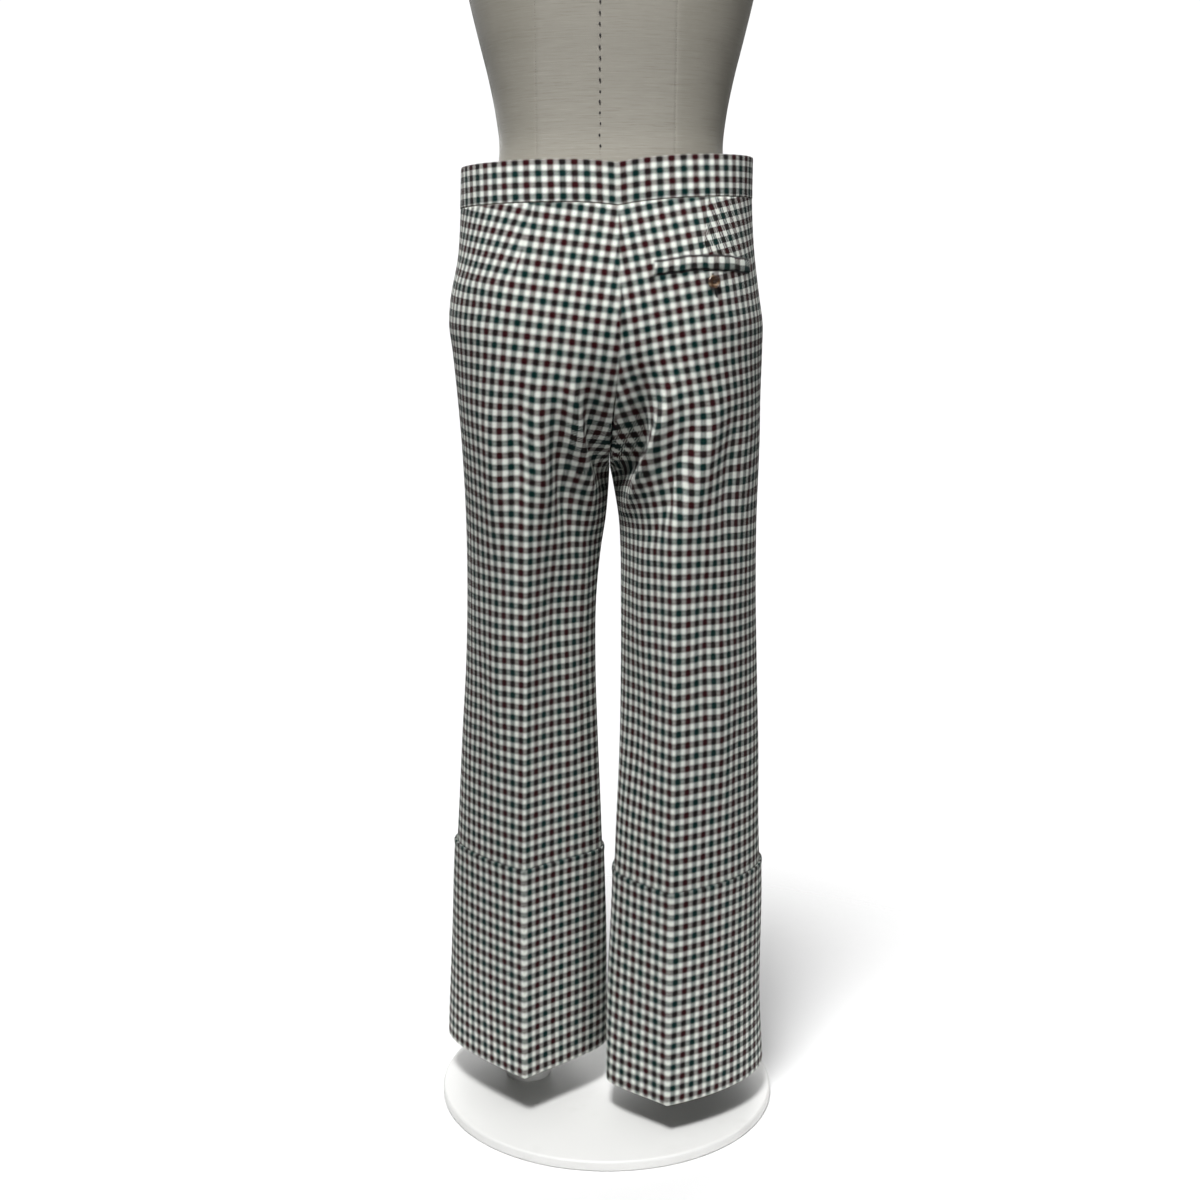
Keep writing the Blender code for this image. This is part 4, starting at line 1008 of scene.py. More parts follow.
@dataclass
class Panel:
    """One front or back, from the waist seam to the hem, as a thin shell with its folds."""

    shape: TrouserShape
    side: Side
    face: Face
    first_column: float = 0.06
    inner_columns: int = 38
    outer_columns: int = 42
    rise_rows: int = 96
    leg_rows: int = 124
    hem_rows: int = 16
    roll_depth: float = 0.0007
    roll_width: float = 0.002
    settle_top: float = 0.52
    lean_start: float = 0.72
    lean_full: float = 0.82
    folded: float = 0.35
    sag: float = 0.5
    sag_limit: float = 0.006
    dart_turn: float = 0.09
    dart_turn_start: float = 0.05
    dart_columns: tuple = (-0.03, -0.012, 0.0, 0.012, 0.03)
    dart_clear: float = 0.035
    dart_reach: float = 0.3
    dart_draw: float = 0.09
    dart_fade: float = 0.02
    place_width: float = 0.1
    dart_width: float = 0.0016
    row_power: float = 1.15
    dense_columns: int = 161
    coarse_rows: int = 5
    coarse_columns: int = 4
    coarse_rounds: int = 1500
    fine_rounds: int = 60
    shear: float = 0.5

    @property
    def dart(self) -> Dart | None:
        """The panel's dart, where it has one."""
        return DARTS.get((self.side, self.face))

    @property
    def tilt(self) -> Tilt:
        """How far the check turns on the panel."""
        return TILTS.get((self.side, self.face), LEVEL)

    @property
    def name(self) -> str:
        """The CAD node that the panel stands for."""
        return f"{self.face.value}_{self.side.value}"

    def base_columns(self) -> np.ndarray:
        """Places across the panel, close together at the seams and at the dart."""
        edges = np.array(EDGE_STEPS)
        inner = np.linspace(self.first_column, 1.0, self.inner_columns)
        outer = np.linspace(1.0, 2 - self.first_column, self.outer_columns)[1:]
        columns = np.concatenate((edges, inner, outer, 2 - edges))
        if self.dart:
            near = self.dart.column + np.array(self.dart_columns)
            columns = columns[abs(columns - self.dart.column) > self.dart_clear]
            columns = np.concatenate((columns, near))
        return np.unique(np.round(columns, 6))

    def heights(self) -> np.ndarray:
        """Heights of the rows, from the waist seam down."""
        t = np.arange(self.rise_rows) / self.rise_rows
        rise = CROTCH + (BAND_SEAM - SEAM_GAP - CROTCH) * (1 - np.sin(math.pi / 2 * t) ** self.row_power)
        down = np.arange(self.leg_rows) / self.leg_rows
        leg = CROTCH - (CROTCH - TURN_UP_TOP) * down**self.row_power
        hem = np.linspace(TURN_UP_TOP, HEM_TUCK, self.hem_rows + 1)
        return np.concatenate((rise, leg, hem))

    def places(self, heights: np.ndarray) -> np.ndarray:
        """The place of every column on every row, drawn aside to follow the dart."""
        base = self.base_columns()
        if not self.dart:
            return np.tile(base, (len(heights), 1))
        dart, reach = self.dart, self.dart_reach
        level = np.maximum(heights, dart.z_tip)
        on_dart = self.shape.place_at_x(self.side, self.face, level, dart.x_at(level))
        drawn = ease((heights - (dart.z_tip - self.dart_draw)) / self.dart_draw)
        on_dart = dart.column + (on_dart - dart.column) * drawn
        knots = [0.0, dart.column - reach, dart.column, dart.column + reach, 2.0]
        return np.array([np.interp(base, knots, knots[:2] + [value] + knots[3:]) for value in on_dart])

    def rows(self) -> tuple[np.ndarray, np.ndarray, np.ndarray, np.ndarray]:
        """Heights, places, points and the distance along each row from the crease."""
        heights = self.heights()
        places = self.places(heights)
        z = np.repeat(heights, places.shape[1])
        s = places.ravel()
        dense = np.linspace(0.0, 2.0, self.dense_columns)
        flat = self.shape.flat_point(self.side, self.face, np.repeat(heights, len(dense)),
                                     np.tile(dense, len(heights)))[0].reshape(len(heights), len(dense), 2)
        lengths = np.zeros((len(heights), len(dense)))
        lengths[:, 1:] = np.cumsum(np.linalg.norm(np.diff(flat, axis=1), axis=2), axis=1)
        run = np.array([np.interp(row, dense, length) for row, length in zip(places, lengths)])
        crease = np.array([np.interp(1.0, dense, length) for length in lengths])
        far = lengths[:, -1:] - run
        out = -self.roll_depth * sum(np.exp(-((away / self.roll_width) ** 2)) for away in (run, far))
        if self.dart:
            beside = abs(places - places[:, [self.dart_column()]]) * self.place_width
            sunk = ease((heights - self.dart.z_tip) / self.dart_fade)[:, None]
            out -= self.dart.depth * sunk * np.exp(-((beside / self.dart_width) ** 2))
        points = self.shape.point(self.side, self.face, z, s, out.ravel())
        points = points.reshape(*places.shape, 3)
        self.part_seams(points, heights)
        return heights, places, points, crease[:, None] - run

    def dart_column(self) -> int:
        """The column that runs along the dart."""
        return int(np.argmin(abs(self.base_columns() - self.dart.column)))

    def part_seams(self, points: np.ndarray, heights: np.ndarray) -> None:
        """Keep the panel's edges a hair off their neighbours."""
        above = heights >= CROTCH
        points[above, 0, 0] += self.side.sign * SEAM_GAP / 2
        points[~above, 0, 1] += self.face.sign * SEAM_GAP / 2
        points[:, -1, 1] += self.face.sign * SEAM_GAP / 2

    def lay_flat(self, heights: np.ndarray, points: np.ndarray, from_crease: np.ndarray) -> np.ndarray:
        """The cut of every point.

        Args:
            heights: Heights of the rows.
            points: Points as worn.
            from_crease: Distance along each row from the crease, towards the inner edge.

        Returns:
            Rows by columns by 2, across and along the grain.
        """
        turn = self.side.sign * self.face.sign
        cut = np.stack((turn * from_crease, np.broadcast_to(heights[:, None], from_crease.shape)), axis=-1)
        row_pick, column_pick = (np.unique(np.append(np.arange(0, count, step), count - 1)) for count, step in
                                 zip(points.shape, (self.coarse_rows, self.coarse_columns)))
        coarse = np.ix_(row_pick, column_pick)
        low = heights[row_pick] < self.settle_top
        pinned = np.broadcast_to(low[:, None], (len(row_pick), len(column_pick)))
        settled = settle_cut(points[coarse], cut[coarse], pinned, self.coarse_rounds, self.shear)
        change = settled - cut[coarse]
        rows = np.arange(len(heights))
        columns = np.arange(points.shape[1])
        for axis in (0, 1):
            across = np.array([np.interp(columns, column_pick, line) for line in change[..., axis]])
            cut[..., axis] += np.array([np.interp(rows, row_pick, line) for line in across.T]).T
        pinned = np.broadcast_to((heights < self.settle_top)[:, None], from_crease.shape)
        return settle_cut(points, cut, pinned, self.fine_rounds, self.shear)

    def build(self, wardrobe: Wardrobe) -> bpy.types.Object:
        """Make the panel's cloth.

        Args:
            wardrobe: The finishes.

        Returns:
            The piece.
        """
        heights, places, points, from_crease = self.rows()
        z = np.repeat(heights, places.shape[1])
        smooth = self.shape.point(self.side, self.face, z, places.ravel(), folded=self.folded)
        cut = self.lay_flat(heights, smooth.reshape(points.shape), from_crease)
        flat = self.shape.flat_point(self.side, self.face, z, places.ravel())[0]
        rise = self.shape.fold_rise(self.side, self.face, flat[:, 0], z, places.ravel()).reshape(places.shape)
        tilt = self.tilt.slope * ease((heights - self.tilt.start) / (self.tilt.full - self.tilt.start))
        sagged = self.sag * self.sag_limit * np.tanh(rise / self.sag_limit)
        cut[..., 1] += tilt[:, None] * from_crease + sagged
        raised = heights - self.lean_start
        raised = raised * ease(raised / (self.lean_full - self.lean_start))
        cut[..., 0] += self.tilt.lean * raised[:, None]
        if self.dart:
            beyond_dart = np.maximum(from_crease[:, [self.dart_column()]] - from_crease, 0.0)
            above = heights - self.dart.z_tip + self.dart_turn_start
            turned = self.dart_turn * ease(above / (BAND_SEAM - self.dart.z_tip))
            cut[..., 1] -= turned[:, None] * beyond_dart
        corners = corner_cut(cut[:-1], cut[1:])
        if self.dart:
            taken = self.dart.intake * np.clip(self.dart.share(heights), 0, 1)
            taken = -self.side.sign * self.face.sign * taken[:, None, None]
            beyond = slice(self.dart_column(), None)
            corners[:, beyond, :2, 0] += taken[:-1]
            corners[:, beyond, 2:, 0] += taken[1:]
        flip = (self.side is Side.LEFT) != (self.face is Face.BACK)
        cloth = grid_object(f"{self.name}_cloth", points, corners, wardrobe.twill, flip=flip)
        give_wall(cloth, CLOTH_WALL)
        declare_cloth(cloth, self.name, corners)
        return cloth


def declare_cloth(cloth: bpy.types.Object, node: str, corners: np.ndarray,
                  doubled: bool = False, size: tuple[float, float] | None = None) -> None:
    """Fix a cloth piece to the frame and say what size it was cut to.

    Args:
        cloth: The piece.
        node: The CAD node that it stands for.
        corners: Its cut, with 4 corners a face on the last axes.
        doubled: The cut goes round both sides of a doubled piece, so one side is half of it.
        size: The cut's width and length, where its corners alone don't give them.
    """
    put_on(cloth, Slot.CLOTH, node)
    flat = corners.reshape(-1, 4, 2)
    first, second = flat[:, 2] - flat[:, 0], flat[:, 3] - flat[:, 1]
    area = float(np.abs(first[:, 0] * second[:, 1] - first[:, 1] * second[:, 0]).sum() / 2)
    across, along = (round(float(value), 3) for value in size or np.ptp(flat.reshape(-1, 2), axis=0))
    area /= 2 if doubled else 1
    area = min(max(area, 0.3 * across * along), across * along)
    LOG.info("%s: cut %.3f x %.3f m, %.4f m2", cloth.name, across, along, area)


@dataclass
class LegRing:
    """Points round one leg or half the waist at one height, from the back's inner edge to the front's."""

    shape: TrouserShape
    side: Side
    inner_columns: int = 30
    outer_columns: int = 34
    groove_depth: float = 0.0006
    groove_width: float = 0.0016

    def places(self) -> np.ndarray:
        """Places across one panel, close together at its seams and its crease."""
        edges = np.array(EDGE_STEPS)
        near_crease = 1 + np.array((-0.016, 0.016))
        inner = np.linspace(0.06, 1.0, self.inner_columns)
        outer = np.linspace(1.0, 1.94, self.outer_columns)[1:]
        return np.sort(np.concatenate((edges, inner, near_crease, outer, 2 - edges)))

    def level(self, z: float) -> tuple[np.ndarray, np.ndarray, np.ndarray]:
        """The level ring at one height.

        Args:
            z: The height.

        Returns:
            Points (x, y), outward directions with the crease corners kept square, and the seam grooves.
        """
        places = self.places()
        parts = []
        grooves = []
        for face, row in ((Face.BACK, places), (Face.FRONT, places[::-1])):
            flat = self.shape.flat_point(self.side, face, np.full(len(row), z), row)[0]
            run = run_along(flat)
            near = np.minimum(run, run[-1] - run)
            parts.append(flat[:-1])
            grooves.append(np.exp(-((near / self.groove_width) ** 2))[:-1])
        flat = np.concatenate(parts)
        before = flat - np.roll(flat, 1, axis=0)
        after = np.roll(flat, -1, axis=0) - flat
        before /= np.linalg.norm(before, axis=1)[:, None]
        after /= np.linalg.norm(after, axis=1)[:, None]
        both = before + after
        normals = np.stack((-both[:, 1], both[:, 0]), axis=1) * self.side.sign
        normals /= np.linalg.norm(normals, axis=1)[:, None]
        across = np.stack((-before[:, 1], before[:, 0]), axis=1) * self.side.sign
        square = np.maximum(np.sum(normals * across, axis=1), 0.5)
        return flat, normals / square[:, None], np.concatenate(grooves)

    def cut_across(self, z: float) -> np.ndarray:
        """The distance across the grain of each face's two ends at one height, columns by 2."""
        places = self.places()
        spans = []
        for face, row in ((Face.BACK, places), (Face.FRONT, places[::-1])):
            flat = self.shape.flat_point(self.side, face, np.full(len(row), z), row)[0]
            run = run_along(flat)
            order = slice(None, None, int(face.sign))
            crease = np.interp(1.0, row[order], run[order])
            place = self.side.sign * (crease - run)
            spans.append(np.stack((place[:-1], place[1:]), axis=1))
        return np.concatenate(spans)


@dataclass
class TurnUp:
    """A deep turn-up: doubled cloth round the leg with a rounded top fold, folded under at the hem."""

    shape: TrouserShape
    side: Side
    outer_rows: int = 56
    wave: float = 0.0005
    top_path: tuple = ((0.0003, 0.2466), (0.0005, 0.248), (0.0011, 0.2486), (0.0019, 0.2484),
                       (0.0025, 0.2476), (0.0027, 0.2462), (0.0024, 0.244), (0.002, 0.241))
    low_path: tuple = ((0.0019, 0.003), (0.0019, 0.0016), (0.0018, 0.0004), (0.0012, -0.0004),
                       (0.0002, -0.0007), (-0.0012, -0.0007), (-0.002, -0.0002), (-0.0021, 0.0006),
                       (-0.0014, 0.001), (-0.0002, 0.001), (0.0003, 0.0016))

    @property
    def name(self) -> str:
        """The CAD node that the turn-up stands for."""
        return f"turn_up_{self.side.value}"

    def path(self) -> np.ndarray:
        """The path of the doubled cloth: how far out, and how high."""
        middle = np.linspace(0.237, 0.007, self.outer_rows)
        outer = np.column_stack((np.full(self.outer_rows, TURN_UP_STAND), middle))
        inner = np.column_stack((np.full(4, 0.0003), np.linspace(0.05, 0.2, 4)))
        return np.concatenate((np.array(self.top_path), outer, np.array(self.low_path), inner))

    def build(self, wardrobe: Wardrobe) -> bpy.types.Object:
        """Make the turn-up's cloth.

        Args:
            wardrobe: The finishes.

        Returns:
            The piece.
        """
        ring = LegRing(self.shape, self.side)
        path = self.path()
        along = run_along(path)
        top = int(np.argmax(path[:, 1]))
        along = path[top, 1] - (along - along[top])
        rows, across = [], []
        for out, z in path:
            level = max(z, 0.0)
            flat, normals, groove = ring.level(level)
            turn = np.linspace(0, 2 * math.pi, len(flat), endpoint=False)
            wave = 1 + 0.5 * np.sin(3 * turn + 21 * z) + 0.5 * np.sin(5 * turn - 34 * z + self.side.sign)
            proud = out + (wave * self.wave - groove * ring.groove_depth if out > 0.001 else 0.0)
            flat = flat + normals * np.broadcast_to(proud, len(flat))[:, None]
            height = self.shape.height(self.side, flat[:, 0], flat[:, 1], np.full(len(flat), z))
            rows.append(np.column_stack((flat, height)))
            across.append(ring.cut_across(level))
        points, across = np.array(rows), np.array(across)
        upper, lower = across, np.roll(across, -1, axis=0)
        along_next = np.append(along[1:], along[-1] - 0.002)
        shape = across.shape[:2]
        high, low = np.broadcast_to(along[:, None], shape), np.broadcast_to(along_next[:, None], shape)
        corners = np.stack((np.stack((upper[..., 0], high), -1), np.stack((upper[..., 1], high), -1),
                            np.stack((lower[..., 1], low), -1), np.stack((lower[..., 0], low), -1)), axis=2)
        cloth = grid_object(f"{self.name}_cloth", points, corners, wardrobe.twill, True, True,
                            flip=self.side is Side.RIGHT)
        round_leg = float(np.abs(across[len(across) // 2, :, 1] - across[len(across) // 2, :, 0]).sum())
        declare_cloth(cloth, self.name, corners, True, (round_leg, float(np.ptp(path[:, 1]))))
        return cloth


@dataclass
class Waistband:
    """Half of the waistband, cut across the grain, from the centre back round to the centre front."""

    shape: TrouserShape
    side: Side
    rows_up: int = 9
    columns: int = 46
    end_roll: float = 0.0006
    end_width: float = 0.0022
    top_path: tuple = ((0.0005, 1.018), (0.0004, 1.0192), (0.0001, 1.02), (-0.0007, 1.0204),
                       (-0.0014, 1.02), (-0.0018, 1.0192), (-0.0019, 1.018))
    low_path: tuple = ((-0.0019, 0.979), (-0.0016, 0.9776), (-0.0007, 0.9772), (0.0002, 0.9774),
                       (0.0005, 0.9782))

    @property
    def name(self) -> str:
        """The CAD node that the half band stands for."""
        return f"waistband_{self.side.value}"

    def path(self) -> np.ndarray:
        """The path round the band's section, up its face and down its back."""
        face = np.column_stack((np.full(self.rows_up, 0.0005), np.linspace(0.98, 1.0165, self.rows_up)))
        back = np.column_stack((np.full(4, -0.0019), np.linspace(1.012, 0.984, 4)))
        return np.concatenate((face, np.array(self.top_path), back, np.array(self.low_path)))[::-1]

    def build(self, wardrobe: Wardrobe) -> bpy.types.Object:
        """Make the band's cloth.

        Args:
            wardrobe: The finishes.

        Returns:
            The piece.
        """
        edges = np.array((0.0, 0.006, 0.013, 0.022, 0.036))
        places = np.concatenate((edges, np.linspace(0.055, 1.98, self.columns * 2)))
        front = np.concatenate((np.array((2.0,)), np.linspace(1.98, 0.055, self.columns * 2), edges[::-1]))
        path = self.path()
        rows, lengths = [], []
        for out, z in path:
            parts = []
            for face, row in ((Face.BACK, places), (Face.FRONT, front)):
                level = np.full(len(row), z)
                proud = self.proud(self.shape.point(self.side, face, level, row, 0.0), out)
                parts.append(self.shape.point(self.side, face, level, row, proud))
            line = np.concatenate(parts)
            line[0, 0] += self.side.sign * SEAM_GAP / 2
            line[-1, 0] += self.side.sign * SEAM_GAP
            rows.append(line)
            lengths.append(run_along(line))
        points = np.array(rows)
        along = run_along(path)
        base = int(np.argmin(abs(path[:, 1] - 0.98) + (path[:, 0] < 0)))
        up = np.broadcast_to((path[base, 1] - BAND_SEAM + along[base] - along)[:, None], points.shape[:2])
        cut = np.stack((up, np.array(lengths) * -self.side.sign), axis=-1)
        corners = self.ring_corners(cut)
        cloth = grid_object(f"{self.name}_cloth", points, corners, wardrobe.twill, round_rows=True,
                            flip=self.side is Side.RIGHT)
        cap_ends(cloth, points.shape[1])
        size = (BAND_TOP - BAND_SEAM, float(np.ptp(cut[..., 1])))
        declare_cloth(cloth, self.name, corners, True, size)
        return cloth

    def proud(self, line: np.ndarray, out: float) -> np.ndarray:
        """How far out each point of a row stands, eased in at the row's seamed end."""
        run = np.linalg.norm(line - line[0 if line[0, 1] > 0.05 else -1], axis=1)
        return out - self.end_roll * np.exp(-((run / self.end_width) ** 2)) * (out > 0)

    @staticmethod
    def ring_corners(cut: np.ndarray) -> np.ndarray:
        """The cut of each face's corners where the last row joins the first."""
        below = np.roll(cut, -1, axis=0).copy()
        below[-1, :, 0] = cut[-1, :, 0] - 0.001
        return corner_cut(cut, below)


class StitchRow:
    """Stitches laid by Geometry Nodes along a path over a surface."""

    def __init__(self, name: str, length: float, width: float, rise: float, pitch: float,
                 seed: int = 3) -> None:
        """Keep the sizes of one kind of stitch."""
        self.name = name
        self.sizes = {"Stitch Length": length, "Stitch Width": width, "Stitch Rise": rise, "Pitch": pitch}
        self.seed = seed

    def tree(self, yarn: bpy.types.Material, crosswise: bool) -> bpy.types.GeometryNodeTree:
        """The node tree: the path is resampled at the pitch, and one stitch stands on each point.

        Args:
            yarn: The thread's finish.
            crosswise: Lay the stitches across the path instead of along it.

        Returns:
            The tree.
        """
        tree = bpy.data.node_groups.new(f"{self.name}_stitches", "GeometryNodeTree")
        face = tree.interface
        face.new_socket("Geometry", in_out="INPUT", socket_type="NodeSocketGeometry")
        for label in (*self.sizes, "Wander"):
            face.new_socket(label, in_out="INPUT", socket_type="NodeSocketFloat")
        face.new_socket("Seed", in_out="INPUT", socket_type="NodeSocketInt")
        face.new_socket("Geometry", in_out="OUTPUT", socket_type="NodeSocketGeometry")
        add = tree.nodes.new
        link = tree.links.new
        entry, leave = add("NodeGroupInput"), add("NodeGroupOutput")
        curve, spaced = add("GeometryNodeMeshToCurve"), add("GeometryNodeResampleCurve")
        spaced.mode = "LENGTH"
        link(entry.outputs["Geometry"], curve.inputs[0])
        link(curve.outputs[0], spaced.inputs["Curve"])
        link(entry.outputs["Pitch"], spaced.inputs["Length"])
        bead = add("GeometryNodeMeshUVSphere")
        bead.inputs["Segments"].default_value = 8
        bead.inputs["Rings"].default_value = 5
        bead.inputs["Radius"].default_value = 0.5
        size = add("ShaderNodeCombineXYZ")
        for socket, label in zip(size.inputs, ("Stitch Length", "Stitch Width", "Stitch Rise")):
            link(entry.outputs[label], socket)
        scaled = add("GeometryNodeTransform")
        link(bead.outputs["Mesh"], scaled.inputs["Geometry"])
        link(size.outputs[0], scaled.inputs["Scale"])
        tangent, outward = add("GeometryNodeInputTangent"), add("GeometryNodeInputNamedAttribute")
        outward.data_type = "FLOAT_VECTOR"
        outward.inputs["Name"].default_value = "outward"
        turned = add("FunctionNodeAxesToRotation")
        turned.primary_axis = "Z"
        turned.secondary_axis = "Y" if crosswise else "X"
        link(outward.outputs["Attribute"], turned.inputs[0])
        link(tangent.outputs[0], turned.inputs[1])
        jitter = add("FunctionNodeRandomValue")
        jitter.data_type = "FLOAT_VECTOR"
        link(entry.outputs["Seed"], jitter.inputs["Seed"])
        spread = add("ShaderNodeVectorMath")
        spread.operation = "SCALE"
        centred = add("ShaderNodeVectorMath")
        centred.operation = "SUBTRACT"
        centred.inputs[1].default_value = (0.5, 0.5, 0.5)
        link(jitter.outputs[0], centred.inputs[0])
        link(centred.outputs[0], spread.inputs[0])
        link(entry.outputs["Wander"], spread.inputs["Scale"])
        moved = add("GeometryNodeSetPosition")
        link(spaced.outputs[0], moved.inputs["Geometry"])
        link(spread.outputs[0], moved.inputs["Offset"])
        placed = add("GeometryNodeInstanceOnPoints")
        link(moved.outputs[0], placed.inputs["Points"])
        link(scaled.outputs[0], placed.inputs["Instance"])
        link(turned.outputs[0], placed.inputs["Rotation"])
        real, smooth, dressed = add("GeometryNodeRealizeInstances"), add("GeometryNodeSetShadeSmooth"), add(
            "GeometryNodeSetMaterial")
        dressed.inputs["Material"].default_value = yarn
        link(placed.outputs[0], real.inputs[0])
        link(real.outputs[0], smooth.inputs[0])
        link(smooth.outputs[0], dressed.inputs[0])
        link(dressed.outputs[0], leave.inputs[0])
        return tree

    def sew(self, paths: list[tuple[np.ndarray, np.ndarray]], yarn: bpy.types.Material, slot: Slot,
            crosswise: bool = False, wander: float = 0.0) -> bpy.types.Object:
        """Lay the stitches and keep them as a plain mesh.

        Args:
            paths: Points and outward directions of each path.
            yarn: The thread's finish.
            slot: Not used.
            crosswise: Lay the stitches across the path.
            wander: How far each stitch strays.

        Returns:
            The piece.
        """
        points = np.concatenate([path for path, _ in paths])
        outward = np.concatenate([directions for _, directions in paths])
        links, start = [], 0
        for path, _ in paths:
            links += [(start + i, start + i + 1) for i in range(len(path) - 1)]
            start += len(path)
        mesh = bpy.data.meshes.new(f"{self.name}_path")
        mesh.from_pydata(points.tolist(), links, [])
        mesh.attributes.new("outward", "FLOAT_VECTOR", "POINT").data.foreach_set(
            "vector", outward.astype(np.float32).ravel())
        guide = in_scene(mesh.name, mesh)
        laid = guide.modifiers.new("Stitches", "NODES")
        laid.node_group = self.tree(yarn, crosswise)
        values = {**self.sizes, "Wander": wander, "Seed": self.seed}
        for socket in laid.node_group.interface.items_tree:
            if socket.in_out == "INPUT" and socket.name in values:
                laid[socket.identifier] = values[socket.name]
        bpy.context.view_layer.update()
        sewn = bpy.data.meshes.new_from_object(guide.evaluated_get(bpy.context.evaluated_depsgraph_get()))
        bpy.data.objects.remove(guide, do_unlink=True)
        if not sewn.materials:
            sewn.materials.append(yarn)
        return mount(self.name, sewn, slot)


def over_panel(shape: TrouserShape, side: Side, face: Face, z: np.ndarray, x: np.ndarray,
               out: float) -> tuple[np.ndarray, np.ndarray]:
    """Points over a panel at heights and side-to-side places, with the outward direction at each.

    Args:
        shape: The trousers' shape.
        side: The wearer's side.
        face: Back or front.
        z: Heights.
        x: Side-to-side places.
        out: How far the points stand off the cloth.

    Returns:
        Points and unit outward directions.
    """
    s = shape.place_at_x(side, face, z, x)
    here = shape.point(side, face, z, s, out)
    beside = shape.point(side, face, z, s + 0.01, out) - here
    below = shape.point(side, face, np.asarray(z) - 0.003, s, out) - here
    outward = np.cross(beside, below)
    outward /= np.linalg.norm(outward, axis=1)[:, None]
    return here, outward * np.sign(outward[:, 1] * face.sign)[:, None]


@dataclass
class BackPocket:
    """The back pocket on the wearer's right: a welt between two slits, a buttonhole and a horn button."""

    shape: TrouserShape
    start_x: float = -0.048
    end_x: float = -0.15
    base: float = 0.9
    height: float = 0.012
    bow: float = 0.004
    columns: int = 72
    shift: tuple[float, float] = (0.0, 0.0164)
    section: tuple = ((0.0003, 1.0), (0.0009, 1.05), (0.0015, 1.03), (0.0018, 0.95), (0.0019, 0.75),
                      (0.0019, 0.5), (0.0019, 0.25), (0.0018, 0.05), (0.0015, -0.03), (0.0009, -0.05),
                      (0.0003, 0.0), (0.0003, 0.5))
    slit_shadow_width: float = 0.0017
    slit_shadow_stand: float = 0.0008
    button_x: float = -0.1095
    button_z: float = 0.8895
    button_radius: float = 0.0073
    button_thickness: float = 0.0032
    button_side: tuple = ((0.98, 0.8), (1.0, 0.62), (1.0, 0.45), (0.96, 0.28), (0.8, 0.06), (0.4, 0.0),
                          (0.0, 0.0))
    button_stand: float = 0.0002
    hole_reach: float = 0.0017 / 1.4
    hole_radius: float = 0.00085
    hole_depth: float = 0.55
    dish_height: float = 0.7
    rim_rise: float = 0.3
    rim_place: float = 0.84
    rim_width: float = 0.11
    thread_top: float = 0.66
    slot_stand: float = 0.0003
    tack_past: float = 0.002
    tack_stand: float = 0.0006
    slot_top: tuple[float, float] = (-0.1085, 0.899)
    slot_foot: tuple[float, float] = (-0.1132, 0.8752)

    def on_back(self, z: np.ndarray, x: np.ndarray, out: float) -> tuple[np.ndarray, np.ndarray]:
        """Points over the right back and the outward direction at each."""
        return over_panel(self.shape, Side.RIGHT, Face.BACK, z, x, out)

    def line(self, level: float, lift: float = 0.0, trim: float = 0.0) -> tuple[np.ndarray, np.ndarray]:
        """The side-to-side places and heights of a line along the pocket.

        Args:
            level: 0 at the welt's lower edge and 1 at its upper edge.
            lift: How much higher the line is.
            trim: Share left off at each end.

        Returns:
            The places and the heights.
        """
        t = np.linspace(trim, 1 - trim, self.columns + 1)
        x = self.start_x + (self.end_x - self.start_x) * t
        wander = 0.0004 * np.sin(17 * t + 2 * level) + 0.0003 * np.sin(41 * t + level)
        return x, self.base + self.height * level + self.bow * np.sin(math.pi * t) + lift + wander

    def build_welt(self, wardrobe: Wardrobe) -> bpy.types.Object:
        """Make the welt's cloth.

        Args:
            wardrobe: The finishes.

        Returns:
            The piece.
        """
        rows, cuts = [], []
        for out, level in self.section:
            x, z = self.line(level)
            rows.append(self.on_back(z, x, out)[0])
            cuts.append(np.column_stack((-(x - self.start_x), np.full(len(x), level * self.height))))
        points, cut = np.array(rows)[:, ::-1], np.array(cuts)[:, ::-1]
        below = np.roll(cut, -1, axis=0)
        corners = corner_cut(cut, below) + np.array(self.shift)
        welt = grid_object("pocket_welt_cloth", points, corners, wardrobe.twill, round_rows=True)
        cap_ends(welt, points.shape[1])
        size = (self.start_x - self.end_x, self.height)
        declare_cloth(welt, "pocket_welt", corners, True, size)
        return welt

    def build_slit_shadows(self, wardrobe: Wardrobe) -> bpy.types.Object:
        """Make dark strips along the pocket's mouth and under its welt: painted shadow of the gaping opening
        and of the welt's underside.
        """
        points, corners, start = [], [], 0
        for level, lift, trim in ((1.0, 0.0013, 0.004), (0.0, -0.0013, 0.012)):
            rows = []
            for across, stand in ((-0.5, 0.0002), (-0.32, 0.85), (0.0, 1.0), (0.32, 0.85), (0.5, 0.0002)):
                x, z = self.line(level, lift + across * self.slit_shadow_width, trim)
                t = np.linspace(0, 1, len(x))
                taper = np.sqrt(np.clip(np.minimum(t, 1 - t) / 0.03, 0, 1))
                rows.append(self.on_back(z, x, self.slit_shadow_stand * stand * taper)[0])
            rows = np.array(rows)[::-1, ::-1]
            count = rows.shape[1]
            for i in range(rows.shape[0] - 1):
                for j in range(count - 1):
                    k = start + i * count + j
                    corners.append((k, k + 1, k + count + 1, k + count))
            points += rows.reshape(-1, 3).tolist()
            start = len(points)
        mesh = bpy.data.meshes.new("pocket_slit_shadows")
        mesh.from_pydata(points, [], corners)
        mesh.polygons.foreach_set("use_smooth", [True] * len(mesh.polygons))
        # The dark yarn finish on these strips is painted shadow, not thread.
        mesh.materials.append(wardrobe.dark_yarn)
        return mount("pocket_slit_shadows", mesh, Slot.CLOTH)

    def seat(self) -> Matrix:
        """The place and turn of the button on the cloth."""
        here, outward = self.on_back(np.array([self.button_z]), np.array([self.button_x]), self.button_stand)
        turn = Vector(outward[0]).to_track_quat("Z", "Y").to_matrix().to_4x4()
        return Matrix.Translation(Vector(here[0])) @ turn

